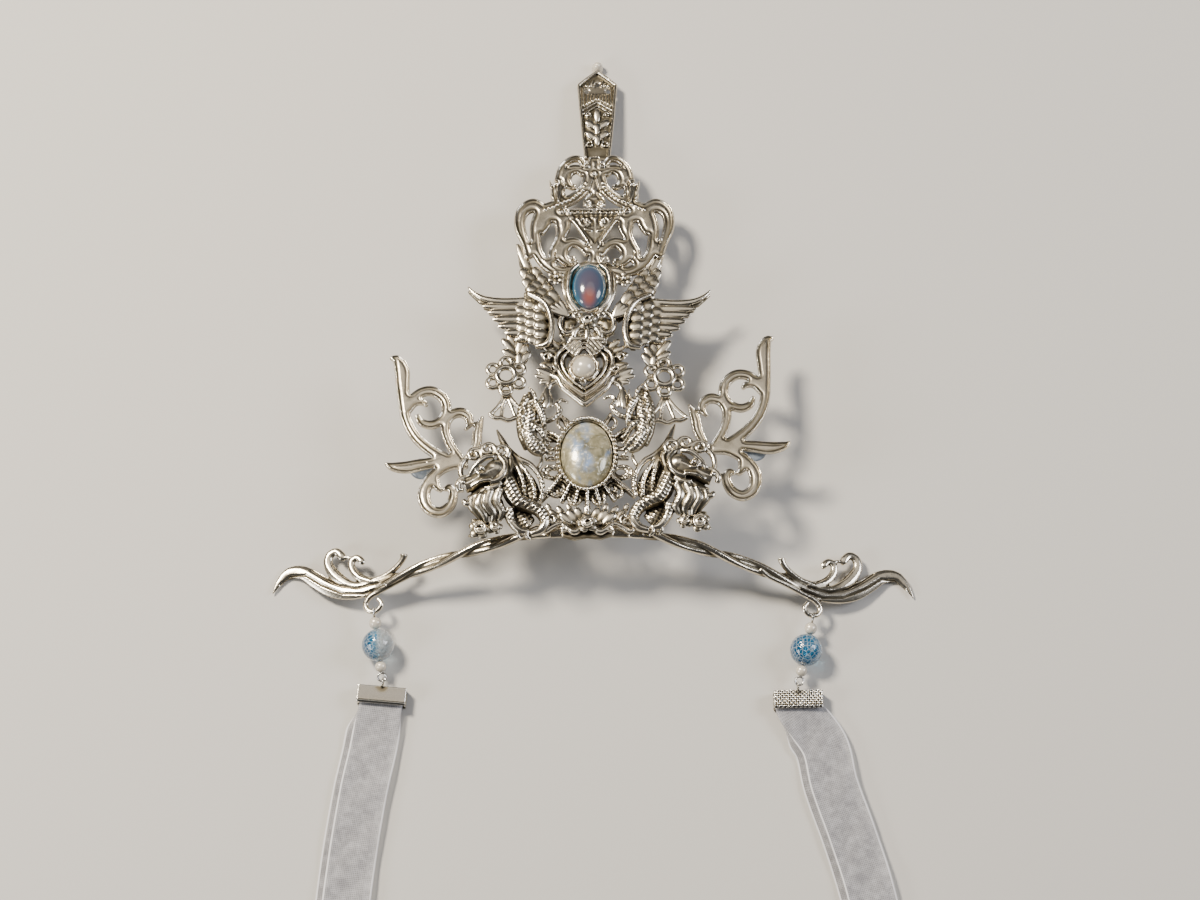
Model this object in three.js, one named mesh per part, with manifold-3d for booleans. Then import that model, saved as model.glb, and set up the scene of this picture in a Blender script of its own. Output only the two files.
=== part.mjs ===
// A hair crown of silver-plated castings, lying on its back on a flat surface.
// Millimetres. +X runs across the crown, +Y up the crown towards its finial and +Z up from the
// surface. The finial's bead and the two ends of the headband carry the crown.
//
// Most castings sit on one leaning plane, the plate. Their tables use plate places:
//   x   across the crown, from its middle
//   v   up the crown, from the foot of the plate
//   w   half the width of a limb there
//   top height of a limb's ridge over the plate, where it differs along the limb
// A table for a pair of castings gives x outwards from the middle, and both sides share it.

import * as THREE from 'three';
import { mergeVertices } from 'three/addons/utils/BufferGeometryUtils.js';
import Module from 'manifold-3d';

const wasm = await Module();
wasm.setup();

// ---------------------------------------------------------------- driving sizes

const GAP = 0.3; // clearance between soldered or set pieces
const FINENESS = 0.12; // facets smaller than this are merged
const FACET = 0.45; // how far a facet may lie from the curve it stands for
const PLATE_LEAN = THREE.MathUtils.degToRad(7.3); // the plate's foot lies higher than its finial
const PLATE_FOOT_Y = -7.37;
const FINIAL_BEAD = { x: 2.2, v: 153.2, height: 0.6, radius: 1.8 };

// The castings are stacked in layers. `slide` seats a raised layer a little nearer the foot.
const SHEET = 1.2;
const LAYER = {
  back: { low: 0, high: SHEET, slide: 0 },
  middle: { low: SHEET + GAP, high: 2 * SHEET + GAP, slide: -0.6 },
  front: { low: 2 * (SHEET + GAP), high: 3 * SHEET + 2 * GAP, slide: -1.2 },
};

const SIDES = [
  { label: 'left', sign: -1 },
  { label: 'right', sign: 1 },
];

// The two hands of a pair are set by hand, so the right one is turned and moved a little.
const RIGHT_SEAT = {
  upper_wing: { pivot: [7, 69], move: [0.4, -0.3], turn: 0 },
  mid_wing: { pivot: [12, 64], move: [-0.7, -0.2], turn: -2 },
  leaf_sprig: { pivot: [20, 53], move: [-2, -0.6], turn: 0 },
  small_dragon: { pivot: [14, 30], move: [-2.1, 1.2], turn: 0 },
  winged_horse: { pivot: [25, 8], move: [-0.4, 1.8], turn: 4 },
  side_scroll: { pivot: [35.5, 21.5], move: [-0.75, 4.4], turn: 6 },
  clear_pad: { pivot: [35.5, 21.5], move: [-0.75, 4.4], turn: 6 },
};

// Headband: places on the surface's own axes, for half a band, with the height worked out.
const BAND = {
  end: 92, endHeight: 0.7, midHeight: 20, half: 0.7, barHalf: 15, barTop: 19.9, barThick: 2.3,
  wing: { root: 58, tip: 91.3 },
};
const RIBBON = { width: 13.4, thick: 1 };
const CLAMP = { width: 13.8, length: 5.1, wall: 0.5, height: 3.9 };
const PIN = { wire: 0.33, topEye: 1.3, footEye: 1.2, bore: 0.7 };
const DROP = { crackle: 4.6, upperPearl: 1.75, lowerPearl: 1.6, gap: 0.2 };
const CLAMP_EYE = { radius: 1.2, stand: 1, height: 3.85 };

// ---------------------------------------------------------------- materials

const metal = (color, roughness) => new THREE.MeshStandardMaterial({ color, roughness, metalness: 1 });
const stone = (color, roughness) => new THREE.MeshStandardMaterial({ color, roughness, metalness: 0 });

const MATERIAL = {
  silver: metal('#d8d3c6', 0.3),
  darkSilver: metal('#8d8a84', 0.4),
  steel: metal('#c4c6c8', 0.25),
  opal: stone('#6f86a8', 0.15),
  moonstone: stone('#c9cdbf', 0.12),
  pearl: stone('#e6dfd0', 0.3),
  crackle: stone('#7fb2d6', 0.2),
  resin: stone('#a9b6c4', 0.3),
  organza: stone('#c3c3cc', 0.8),
};

// ---------------------------------------------------------------- tables and solids

/** Rows of numbers as rows with named columns. */
function table(columns, rows) {
  return rows.map((row) => Object.fromEntries(columns.map((name, i) => [name, row[i]])));
}

const LIMB = ['x', 'v', 'w'];
const MODELLED = ['x', 'v', 'w', 'top'];

/** A closed geometry as a solid that can be joined and cut. */
function solid(geometry) {
  const bare = new THREE.BufferGeometry();
  bare.setAttribute('position', (geometry.index ? geometry.toNonIndexed() : geometry).attributes.position);
  const merged = mergeVertices(bare, 1e-4);
  return new wasm.Manifold(
    new wasm.Mesh({
      numProp: 3,
      vertProperties: new Float32Array(merged.attributes.position.array),
      triVerts: new Uint32Array(merged.index.array),
    }),
  );
}

/** One casting from several limbs. */
function fuse(solids) {
  return solids.flat().reduce((whole, next) => whole.add(next)).simplify(FINENESS);
}

/** A solid as a geometry for drawing, mirrored in x for a left-hand casting. */
function drawn(body, sign = 1) {
  const mesh = body.getMesh();
  const places = Float32Array.from(mesh.vertProperties);
  const corners = Uint32Array.from(mesh.triVerts);
  if (sign < 0) {
    for (let i = 0; i < places.length; i += 3) places[i] = -places[i];
    for (let i = 0; i < corners.length; i += 3) {
      [corners[i + 1], corners[i + 2]] = [corners[i + 2], corners[i + 1]];
    }
  }
  const geometry = new THREE.BufferGeometry();
  geometry.setAttribute('position', new THREE.BufferAttribute(places, 3));
  geometry.setIndex(new THREE.BufferAttribute(corners, 1));
  geometry.computeVertexNormals();
  return geometry;
}

/** A geometry moved to plate place x, v at height d, turned by `turn` degrees in the plate. */
function at(geometry, x, v, d = 0, turn = 0) {
  return geometry.rotateZ(THREE.MathUtils.degToRad(turn)).translate(x, v, d);
}

/**
 * Shares of a line at which a limb gets a section: closer together where it bends or swells by more
 * than `FACET` between two of them.
 */
function stations(sizeAt, from, to) {
  const middle = (from + to) / 2;
  const [a, m, b] = [from, middle, to].map(sizeAt);
  const off = Math.hypot(...m.map((value, i) => value - (a[i] + b[i]) / 2));
  if (off < FACET) return [from];
  return [...stations(sizeAt, from, middle), ...stations(sizeAt, middle, to)];
}

/**
 * A limb: a low trapezoid swept along the smooth line through the rows, from `low` to each row's
 * top or `high`. `flat` is the share of the width that is flat on top, 0 for a sharp ridge.
 */
function limb(rows, { low, high, flat = 1 }) {
  const line = new THREE.CatmullRomCurve3(
    rows.map((r) => new THREE.Vector3(r.x, r.v, r.z ?? 0)), false, 'centripetal');
  const size = new THREE.CatmullRomCurve3(
    rows.map((r) => new THREE.Vector3(r.w, r.top ?? high, 0)), false, 'catmullrom', 0.5);
  const sizeAt = (t) => [...line.getPoint(t).toArray(), size.getPoint(t).x, size.getPoint(t).y * 0.5];
  const shares = rows.length > 2 ? [...stations(sizeAt, 0, 0.5), ...stations(sizeAt, 0.5, 1)] : [0];
  const rings = [...shares, 1].map((t) => {
    const centre = line.getPoint(t);
    const along = line.getTangent(t);
    const side = new THREE.Vector3(-along.y, along.x, 0).normalize();
    const up = new THREE.Vector3().crossVectors(along, side);
    const shape = size.getPoint(t);
    const half = Math.max(shape.x, 0.12);
    const place = (across, height) =>
      centre.clone().addScaledVector(side, across).addScaledVector(up, height);
    const crest = flat > 0 ? [place(-half * flat, shape.y),
      place(half * flat, shape.y)] : [place(0, shape.y)];
    return [place(-half, low), ...crest, place(half, low)];
  });
  return solid(skin(rings));
}

/** The closed skin over a row of rings of points. */
function skin(rings) {
  const count = rings[0].length;
  const faces = [];
  for (let i = 0; i + 1 < rings.length; i++) {
    const [here, next] = [rings[i], rings[i + 1]];
    for (let k = 0; k < count; k++) {
      const l = (k + 1) % count;
      faces.push(here[k], here[l], next[l], here[k], next[l], next[k]);
    }
  }
  const last = rings.at(-1);
  for (let k = 1; k < count - 1; k++) {
    faces.push(rings[0][0], rings[0][k + 1], rings[0][k], last[0], last[k], last[k + 1]);
  }
  const geometry = new THREE.BufferGeometry().setFromPoints(faces);
  let volume = 0;
  for (let i = 0; i < faces.length; i += 3) {
    volume += faces[i].dot(new THREE.Vector3().crossVectors(faces[i + 1], faces[i + 2]));
  }
  return volume < 0 ? turnedOut(geometry) : geometry;
}

/** The same triangles facing the other way. */
function turnedOut(geometry) {
  const places = geometry.attributes.position;
  for (let i = 0; i < places.count; i += 3) {
    const b = new THREE.Vector3().fromBufferAttribute(places, i + 1);
    const c = new THREE.Vector3().fromBufferAttribute(places, i + 2);
    places.setXYZ(i + 1, c.x, c.y, c.z);
    places.setXYZ(i + 2, b.x, b.y, b.z);
  }
  return geometry;
}

/** A pointed leaf or feather from its root to its tip, `w` half as wide, bent aside by `bend`. */
function leaf(root, tip, w, { low, high, bend = 0, flat = 1, blunt = 0.15 }) {
  const [dx, dv] = [tip[0] - root[0], tip[1] - root[1]];
  const length = Math.hypot(dx, dv);
  const along = (t, aside) => [
    root[0] + dx * t - (dv / length) * aside,
    root[1] + dv * t + (dx / length) * aside,
  ];
  const rows = table(LIMB, [
    [...along(0, 0), w * 0.55],
    [...along(0.35, bend * 0.8), w],
    [...along(0.75, bend * 0.75), w * 0.8],
    [...along(1, 0), w * blunt],
  ]);
  return limb(rows, { low, high, flat });
}

/** A flat ring with a bevelled rim. */
function ring(x, v, radius, w, { low, high, sides = 10, stretch = 1, flat = 0.4 }) {
  const crest = flat > 0 ? [[radius + w * flat, high], [radius - w * flat, high]] : [[radius, high]];
  const profile = [[radius - w, low], [radius + w, low], ...crest, [radius - w, low]]
    .map(([r, d]) => new THREE.Vector2(r, d));
  const geometry = new THREE.LatheGeometry(profile, sides).rotateX(Math.PI / 2);
  return solid(at(outwards(geometry.scale(1, stretch, 1)), x, v));
}

/** A round or oval mound, flat underneath. */
function mound(x, v, rx, rv, { low, high, sides = 8, turn = 0, rings = 3 }) {
  const profile = [new THREE.Vector2(0, low), new THREE.Vector2(1, low)];
  for (let i = 1; i <= rings; i++) {
    const angle = (i / rings) * (Math.PI / 2);
    const radius = i === rings ? 0 : Math.cos(angle);
    profile.push(new THREE.Vector2(radius, low + (high - low) * Math.sin(angle)));
  }
  const geometry = new THREE.LatheGeometry(profile, sides).rotateX(Math.PI / 2).scale(rx, rv, 1);
  return solid(at(outwards(geometry), x, v, 0, turn));
}

/** A geometry with its faces turned out, whichever way they faced. */
function outwards(geometry) {
  const loose = geometry.index ? geometry.toNonIndexed() : geometry;
  const places = loose.attributes.position;
  const [a, b, c] = [new THREE.Vector3(), new THREE.Vector3(), new THREE.Vector3()];
  let volume = 0;
  for (let i = 0; i < places.count; i += 3) {
    a.fromBufferAttribute(places, i);
    b.fromBufferAttribute(places, i + 1);
    c.fromBufferAttribute(places, i + 2);
    volume += a.dot(b.cross(c));
  }
  return volume < 0 ? turnedOut(loose) : loose;
}

/** A cut sheet with straight edges between the corners. */
function sheet(corners, { low, high }, holes = []) {
  const outline = new THREE.Shape(corners.map(([x, v]) => new THREE.Vector2(x, v)));
  outline.holes = holes.map((hole) => new THREE.Path(hole.map(([x, v]) => new THREE.Vector2(x, v))));
  return solid(new THREE.ExtrudeGeometry(outline, { depth: high - low, bevelEnabled: false })
    .translate(0, 0, low));
}

/** The corners of a round or oval hole. */
function round(x, v, rx, rv, sides = 8) {
  return Array.from({ length: sides }, (_, i) => {
    const angle = (2 * Math.PI * i) / sides;
    return [x + rx * Math.cos(angle), v + rv * Math.sin(angle)];
  });
}

/** A rose: a round of petals and a smaller, higher heart. */
function rose(x, v, radius, { low, high }) {
  const rise = high - low;
  return [
    mound(x, v, radius, radius, { low, high: low + rise * 0.7, rings: 2 }),
    mound(x, v, radius * 0.5, radius * 0.5, { low: low + rise * 0.2, high, sides: 5, rings: 1 }),
  ];
}

/** A tulip-shaped vase with two horns at its mouth, upright or hanging. */
function tulip(x, v, scale, layer, hanging = false) {
  const half = [[0, 3.2], [1.2, 2.9], [2.2, 3.9], [1.5, 1], [2.6, -1.6], [1.6, -3.4], [0, -3.9]];
  const outline = [...half, ...half.slice(1, -1).reverse().map(([u, h]) => [-u, h])];
  const way = hanging ? -scale : scale;
  return sheet(outline.map(([u, h]) => [x + u * scale, v + h * way]), layer);
}

/** Rows seen in a mirror on the line x = `axis`, given as distances from it. */
function about(axis, rows) {
  return [1, -1].map((sign) => rows.map((row) => ({ ...row, x: axis + sign * row.x })));
}

// ---------------------------------------------------------------- the crown's castings

const FINIAL = { axis: 2.1, apex: 151, shoulder: [5.95, 146.6], foot: [3.75, 120.8] };

/** The tall finial plate: a rim, three holes, a ribbed head and a leafy panel. */
function finialPlate() {
  const { axis, apex, shoulder, foot } = FINIAL;
  const { low, high } = LAYER.back;
  const outline = (inset) => [
    [axis - foot[0] + inset, foot[1] + inset], [axis + foot[0] - inset, foot[1] + inset],
    [axis + shoulder[0] - inset, shoulder[1] - inset * 0.5], [axis, apex - inset * 1.3],
    [axis - shoulder[0] + inset, shoulder[1] - inset * 0.5],
  ];
  const holes = [[-3.2, 144.5], [0, 146.7], [3.2, 144.5]].map(([u, v]) => round(axis + u, v, 1, 0.85));
  const parts = [
    sheet(outline(0), { low, high: high - 0.5 }, holes),
    sheet(outline(0), { low, high: high + 0.3 }, [outline(0.7)]),
  ];
  const ribs = 6;
  for (let i = 0; i < ribs; i++) {
    const u = -4.1 + (8.2 * i) / (ribs - 1);
    const foot1 = 141.2 - Math.abs(u) * 0.7;
    parts.push(limb(table(LIMB, [[axis + u, foot1, 0.3], [axis + u, 143.3, 0.3]]),
      { low, high: high - 0.1 }));
  }
  parts.push(limb(table(LIMB, [[axis - 4.8, 137.6, 0.35], [axis, 140.9, 0.35], [axis + 4.8, 137.6, 0.35]]),
    { low, high }));
  parts.push(limb(table(LIMB, [[axis, 126.5, 0.3], [axis, 137.5, 0.3]]), { low, high }));
  for (const v of [127.5, 130.5, 133.5]) {
    for (const sign of [-1, 1]) {
      parts.push(leaf([axis, v], [axis + sign * 3.1, v + 2.6], 0.75, { low, high, bend: -sign * 0.5 }));
    }
  }
  return fuse(parts);
}

const SCROLL_AXIS = 1.3;
const SCROLL_LIMBS = {
  stem: { rows: [[3, 118.4, 0.6], [4.4, 120.6, 0.8], [7, 120.4, 0.8], [9.8, 117.6, 0.7], [11, 113, 0.6]] },
  curl: { rows: [[3.2, 115.7, 0.9], [5, 117, 1], [7, 116, 1.2], [8, 113.6, 1.2], [7, 111.6, 0.9],
    [5.2, 111.3, 0.3]] },
  limb: { rows: [[1.4, 118, 1.5], [2.1, 113.5, 1.3], [3.4, 110, 1.3], [6.7, 107, 1.4],
    [10.5, 105.2, 1.5], [15, 102.8, 1.9]] },
  lobe: { rows: [[14.7, 103.2, 1.6], [18, 104.9, 1.9], [20.9, 103, 1.6], [21.8, 99.6, 1.3],
    [21.4, 96.3, 1.2], [20.2, 92.7, 0.9], [19.1, 88.7, 0.8]] },
  side: { rows: [[15.4, 102.6, 2], [17.2, 98, 1.3], [17.1, 93.6, 1.2], [16.4, 89, 1.3], [13.9, 85.1, 1.4],
    [10.2, 82.9, 1.4], [6.2, 82.9, 1.2], [1.8, 85.6, 1]] },
  inner: { rows: [[12.4, 101.6, 1.8], [8.9, 100.6, 1.2], [7.9, 97.5, 1.4], [10, 93.9, 1.2],
    [12.3, 90.9, 0.8], [13.3, 87.8, 0.7], [12.2, 86.5, 0.7]] },
  shoulder: { rows: [[15.6, 101.6, 2], [13, 98.8, 1.3], [15.6, 95.6, 0.6]] },
  scroll: { rows: [[1.6, 88.4, 0.9], [3.9, 91.6, 1.1], [6.6, 92.3, 1.3], [8.8, 90.6, 1.6],
    [9.1, 87.8, 1.5], [7.6, 85.9, 1.1], [5.4, 86.4, 0.5]] },
  edge: { rows: [[9.6, 104.8, 0.7], [0, 90.6, 0.7]] },
  relief: { rows: [[1, 95, 0.4], [2.2, 98.6, 0.5], [3.6, 101.2, 0.5], [1.6, 101, 0.3]] },
  spray: { rows: [[0, 103.5, 0.6], [1.8, 106.5, 0.7], [2.4, 108.6, 0.3]] },
};

/** The broad pierced scroll plate with its tulips and pointed arch. */
function scrollPlate() {
  const layer = LAYER.middle;
  const parts = [];
  for (const { rows } of Object.values(SCROLL_LIMBS)) {
    for (const side of about(SCROLL_AXIS, table(LIMB, rows))) parts.push(limb(side, layer));
  }
  for (const sign of [-1, 1]) {
    parts.push(tulip(SCROLL_AXIS + sign * 11.1, 109.4, 1, layer));
    parts.push(mound(SCROLL_AXIS + sign * 19.1, 88.4, 1.1, 1.1, layer));
    parts.push(mound(SCROLL_AXIS + sign * 11.6, 86.4, 0.9, 0.9, layer));
  }
  const panel = [[SCROLL_AXIS - 8, 103.6], [SCROLL_AXIS + 8, 103.6], [SCROLL_AXIS, 91]];
  parts.push(sheet(panel, { low: layer.low, high: layer.high - 0.5 }));
  parts.push(limb(table(LIMB, [[SCROLL_AXIS, 102, 1], [SCROLL_AXIS, 106, 1.2], [SCROLL_AXIS, 111.6, 0.3]]),
    { ...layer }));
  parts.push(limb(table(LIMB, [[SCROLL_AXIS, 92, 1.4], [SCROLL_AXIS, 88, 2.2], [SCROLL_AXIS, 84.4, 2.4]]),
    { ...layer }));
  parts.push(sheet([[-2, 116.8], [4.8, 116.8], [4.7, 120], [3.4, 122.8], [1.5, 125.3], [-0.4, 122.8],
    [-1.9, 120]],
    layer));
  return fuse(parts);
}

/** One tall upper wing: a long first feather over rows of short ones. */
function upperWing() {
  const layer = LAYER.back;
  const long = limb(table(LIMB, [[20.7, 91.2, 0.4], [19.9, 87.5, 1.2], [18.1, 83.8, 1.3],
    [15, 78.5, 1]]), layer);
  const feathers = table(['rx', 'rv', 'tx', 'tv', 'w'], [
    [15.6, 76.5, 19.3, 82.6, 1.4], [14.4, 78, 16.6, 82.6, 1.2], [14.8, 73.6, 18.2, 77.8, 1.3],
    [13, 75.6, 15.8, 79.8, 1.3], [12.6, 72.2, 16, 76.8, 1.3], [13.4, 71.6, 16.8, 73.6, 1.1],
    [9.6, 71.2, 12.2, 77.4, 1.5], [9.4, 70, 14.6, 73.4, 1.6],
  ]);
  const body = limb(table(LIMB, [[7.2, 68.4, 1.5], [9.6, 71, 2.6], [11.8, 74.6, 2.4], [14.4, 78.4, 1.6]]),
    { low: layer.low, high: layer.high - 0.3 });
  return fuse([long, body, ...feathers.map((f) => leaf([f.rx, f.rv], [f.tx, f.tv], f.w,
    { ...layer, blunt: 0.5 }))]);
}

/** One spread middle wing: seven flight feathers, covert scales and a leading edge. */
function midWing() {
  const layer = LAYER.middle;
  const first = limb(table(LIMB, [[34.8, 76.3, 0.3], [31.3, 73.2, 0.8], [27.1, 72, 0.9], [21.5, 72, 0.9],
    [16.5, 70.6, 0.9]]), layer);
  const flights = table(['rx', 'rv', 'tx', 'tv'], [
    [17, 70.4, 30.4, 71], [16.8, 69, 28.9, 69.2], [16.4, 67.6, 27.4, 67.4],
    [16, 65.6, 26, 65.6], [15.6, 63.6, 23.9, 63.6], [15.4, 61.4, 21, 61.5],
  ]);
  const coverts = table(['x', 'v', 'turn'], [
    [18.2, 73.2, 130], [17.2, 69.2, 150], [16.2, 65.4, 165], [16, 61.8, 180], [13.9, 67.4, 125],
      [13.3, 63.4, 105],
    [13.2, 59.4, 95],
  ]);
  const edge = limb(table(LIMB, [[15, 70.6, 0.6], [12.6, 69, 0.8], [11.3, 66.4, 0.8], [11.2, 63, 0.8],
    [11.8, 58.4, 0.6]]), layer);
  const body = limb(table(LIMB, [[14.6, 70.2, 1.6], [13.8, 66, 2.4], [13.8, 62, 2.4], [14, 58.8, 1.6]]),
    { low: layer.low, high: layer.high - 0.4 });
  return fuse([
    first, edge, body,
    ...flights.map((f) => leaf([f.rx, f.rv], [f.tx, f.tv], 1.05, { ...layer, bend: 0.3, blunt: 0.4 })),
    ...coverts.map((c) => mound(c.x, c.v, 2.1, 1.4, { low: layer.low, high: layer.high + 0.3, turn: c.turn,
      sides: 6, rings: 1 })),
  ]);
}

/** One sprig of seven leaves on a short stem. */
function leafSprig() {
  const layer = LAYER.back;
  const stem = limb(table(LIMB, [[20.2, 51.6, 0.6], [20.9, 55.5, 0.7], [21.9, 60.4, 0.4]]), { ...layer });
  const leaves = table(['rx', 'rv', 'tx', 'tv', 'w'], [
    [21.4, 57, 23.4, 62.4, 0.8], [21.6, 57.4, 21.9, 62, 0.7], [21.4, 55.6, 24.6, 60.6, 0.9],
    [20.9, 54.2, 24.5, 55.8, 0.8], [20.7, 55, 20.1, 60, 0.9], [20.6, 54, 18.4, 58.8, 0.9],
    [20.3, 52.4, 17.8, 56, 1],
  ]);
  return fuse([stem, ...leaves.map((f) => leaf([f.rx, f.rv], [f.tx, f.tv], f.w, layer))]);
}

/** The setting of the upper cabochon: a back plate and two curling strands a side. */
function opalSetting() {
  const layer = LAYER.front;
  const { x, v, rx, rv } = OPAL;
  const parts = [
    sheet(round(x, v, rx + 0.5, rv + 0.5, 12), { low: layer.low, high: layer.low + 0.6 }),
    sheet(round(x, v, rx + 0.9, rv + 0.9, 12), { low: layer.low, high: layer.low + 1.3 },
      [round(x, v, rx + 0.4, rv + 0.4, 12)]),
  ];
  const strand = [[3.2, 84.6, 0.6], [5.4, 82.4, 0.7], [6, 78, 0.7], [5.6, 73.6, 0.7], [3.2, 69.8, 0.6]];
  const outer = [[5.4, 83, 0.5], [7, 80.4, 0.6], [6.9, 76, 0.6], [4.9, 70.6, 0.5]];
  for (const rows of [strand, outer]) {
    for (const side of about(x, table(LIMB, rows))) parts.push(limb(side, { ...layer }));
  }
  return fuse(parts);
}

const OPAL = { x: -0.2, v: 77.4, rx: 4.9, rv: 7.1 };
const MOONSTONE = { x: -0.8, v: 23.6, rx: 7.4, rv: 10.2 };

/** A domed oval stone seated on its setting's back plate. */
function cabochon({ x, v, rx, rv }, low, rise, sides = 16) {
  return mound(x, v, rx, rv, { low, high: low + rise, sides, rings: 5 });
}

/** A small blossom: five pointed petals round a bead. */
function blossom() {
  const { low, high } = LAYER.front;
  const star = Array.from({ length: 10 }, (_, i) => {
    const reach = i % 2 ? 1 : 1.9;
    const angle = (Math.PI * i) / 5;
    return [reach * Math.cos(angle), reach * Math.sin(angle)];
  });
  return fuse([sheet(star, { low, high: high - 0.4 }), mound(0, 0, 0.9, 0.9,
    { low, high, sides: 6, rings: 1 })]);
}

/** The mask-shaped casting: a rose between two ear curls, two brows and a chin. */
function roseMask() {
  const layer = LAYER.middle;
  const parts = [...rose(-0.8, 66, 2, { low: layer.low, high: layer.high + 0.9 })];
  const ear = [[1.6, 67.4, 0.7], [4.4, 68.2, 0.7], [7.2, 67, 0.8], [7.5, 63.6, 0.8], [5.6, 62.2, 0.7],
    [4.4, 63.6, 0.6], [5.4, 64.8, 0.4]];
  const brow = [[1, 64.4, 0.6], [3.2, 63.2, 0.7], [4.4, 61.2, 0.6]];
  const chin = [[0, 60.6, 0.9], [2.4, 61.2, 0.8], [4.6, 61.6, 0.7], [6.6, 61.6, 0.5]];
  for (const rows of [ear, brow, chin]) {
    for (const side of about(-0.8, table(LIMB, rows))) parts.push(limb(side, layer));
  }
  parts.push(limb(table(LIMB, [[-0.8, 64.8, 0.8], [-0.8, 60.4, 0.7]]), { ...layer }));
  return fuse(parts);
}

/** The heart-shaped filigree with its herringbone roof and spiky side sprays. */
function heartFiligree() {
  const layer = LAYER.back;
  const axis = -1.6;
  const tables = {
    outer: [[1.2, 57.8, 0.5], [4.2, 58.2, 0.6], [7.2, 56, 0.6], [7.9, 52.6, 0.6], [6.2, 48.6, 0.6],
      [3.6, 45.6, 0.6], [0, 42.2, 0.6]],
    inner: [[2.6, 55.2, 0.5], [5, 56, 0.5], [6.2, 53.2, 0.5], [5.2, 49.6, 0.5], [3, 47, 0.5],
      [0, 44.6, 0.5]],
    roof: [[0, 62, 0.5], [2.6, 59.9, 0.5], [5.2, 57.6, 0.5]],
    rafter: [[0, 60.4, 0.4], [2.4, 58.4, 0.4], [4.4, 56.8, 0.4]],
    arch: [[0, 58.6, 0.4], [1.6, 57, 0.4], [2, 55, 0.4]],
    spray: [[4.6, 57.6, 0.5], [6.4, 60, 0.5], [9, 58.2, 0.6], [10.8, 55.6, 0.9]],
    branch: [[7.2, 56.4, 0.5], [9.6, 54.4, 0.7], [10.6, 51.6, 0.6], [8.4, 50.6, 0.5], [6.9, 51.6, 0.4]],
  };
  const parts = [];
  for (const rows of Object.values(tables)) {
    for (const side of about(axis, table(LIMB, rows))) parts.push(limb(side, { ...layer }));
  }
  for (const sign of [-1, 1]) {
    for (const [x, v, tip] of [[5.8, 59.2, 61.4], [8.4, 58.4, 60.6]]) {
      parts.push(leaf([axis + sign * x, v], [axis + sign * (x + 0.4), tip], 0.4, layer));
    }
  }
  parts.push(sheet(round(axis, 51, 3.4, 3.4, 12), { low: layer.low, high: layer.high - 0.3 }));
  parts.push(limb(table(LIMB, [[axis - 7.4, 51, 0.5], [axis + 7.4, 51, 0.5]]), { ...layer }));
  return fuse(parts);
}

const PEARL = { x: -1.7, v: 51.4, r: 3.4 };

/** The cup that holds the pearl: a floor and a low rim. */
function pearlCup() {
  const { low } = LAYER.middle;
  return fuse([
    sheet(round(PEARL.x, PEARL.v, 3.7, 3.7, 10), { low, high: low + 0.6 }),
    ring(PEARL.x, PEARL.v, PEARL.r + 0.75, 0.4, { low, high: low + 1.5, flat: 1 }),
  ]);
}

/** The bent bar under the heart, with buds at its ends and two hanging tulips. */
function chevronBar() {
  const layer = LAYER.middle;
  const parts = [
    limb(table(LIMB, [[-12.4, 49.2, 0.5], [-9.8, 48.2, 0.8], [-8.4, 45.6, 0.8], [-4.9, 42, 0.9],
      [-1.8, 39.2, 1],
      [1.6, 41.9, 0.9], [5, 45.4, 0.8], [6.8, 48, 0.8], [9.6, 49, 0.5]]), layer),
    mound(-13.4, 49.6, 1.5, 1.1, layer), mound(10.8, 49.4, 1.5, 1.1, layer),
    leaf([-12.6, 48.6], [-15.6, 46.8], 0.8, layer), leaf([9.8, 48.6], [12.6, 46.8], 0.8, layer),
    leaf([-12.8, 50.2], [-14.6, 52.4], 0.7, layer), leaf([10, 50], [11.8, 52], 0.7, layer),
    tulip(-11.9, 39.9, 0.62, layer, true), tulip(10, 40.9, 0.62, layer, true),
  ];
  parts.push(limb(table(LIMB, [[-9.4, 47.6, 0.6], [-11.2, 45, 0.6], [-11.9, 41.6, 0.6]]), { ...layer }));
  parts.push(limb(table(LIMB, [[7, 47.6, 0.6], [9.2, 45.6, 0.6], [10, 42.6, 0.6]]), { ...layer }));
  return fuse(parts);
}

/** A flower of six wire petals round a thick ring. */
function flowerRing() {
  const layer = LAYER.front;
  const parts = [ring(0, 0, 2.55, 0.75, layer)];
  for (let i = 0; i < 6; i++) {
    const angle = ((i + 0.5) * Math.PI) / 3;
    parts.push(ring(4.75 * Math.cos(angle), 4.75 * Math.sin(angle), 1.35, 0.42,
      { low: layer.low, high: layer.high - 0.3, sides: 7, flat: 0 }));
  }
  return fuse(parts);
}

/** A little pierced fan with three openings, hanging from its collar. */
function fan() {
  const layer = LAYER.middle;
  const wires = [
    [[-0.3, 0.4, 0.6], [-2.2, -3, 0.5], [-4.6, -6.2, 0.6]],
    [[0.3, 0.4, 0.6], [3, -3, 0.5], [6.1, -6.3, 0.6]],
    [[0, 0, 0.5], [-0.9, -3.4, 0.4], [-1.6, -6.8, 0.4]],
    [[0.2, 0, 0.5], [1.4, -3.4, 0.4], [2.6, -6.9, 0.4]],
    [[-4.6, -6.2, 0.6], [-3, -6.6, 0.6], [-1.6, -7, 0.6], [0.6, -7.5, 0.6], [2.6, -7, 0.6],
      [4.2, -6.6, 0.6],
      [6.1, -6.3, 0.6]],
  ];
  return fuse([
    ...wires.map((rows) => limb(table(LIMB, rows), { ...layer })),
    mound(0, 0.8, 1.3, 1, layer),
  ]);
}

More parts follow.
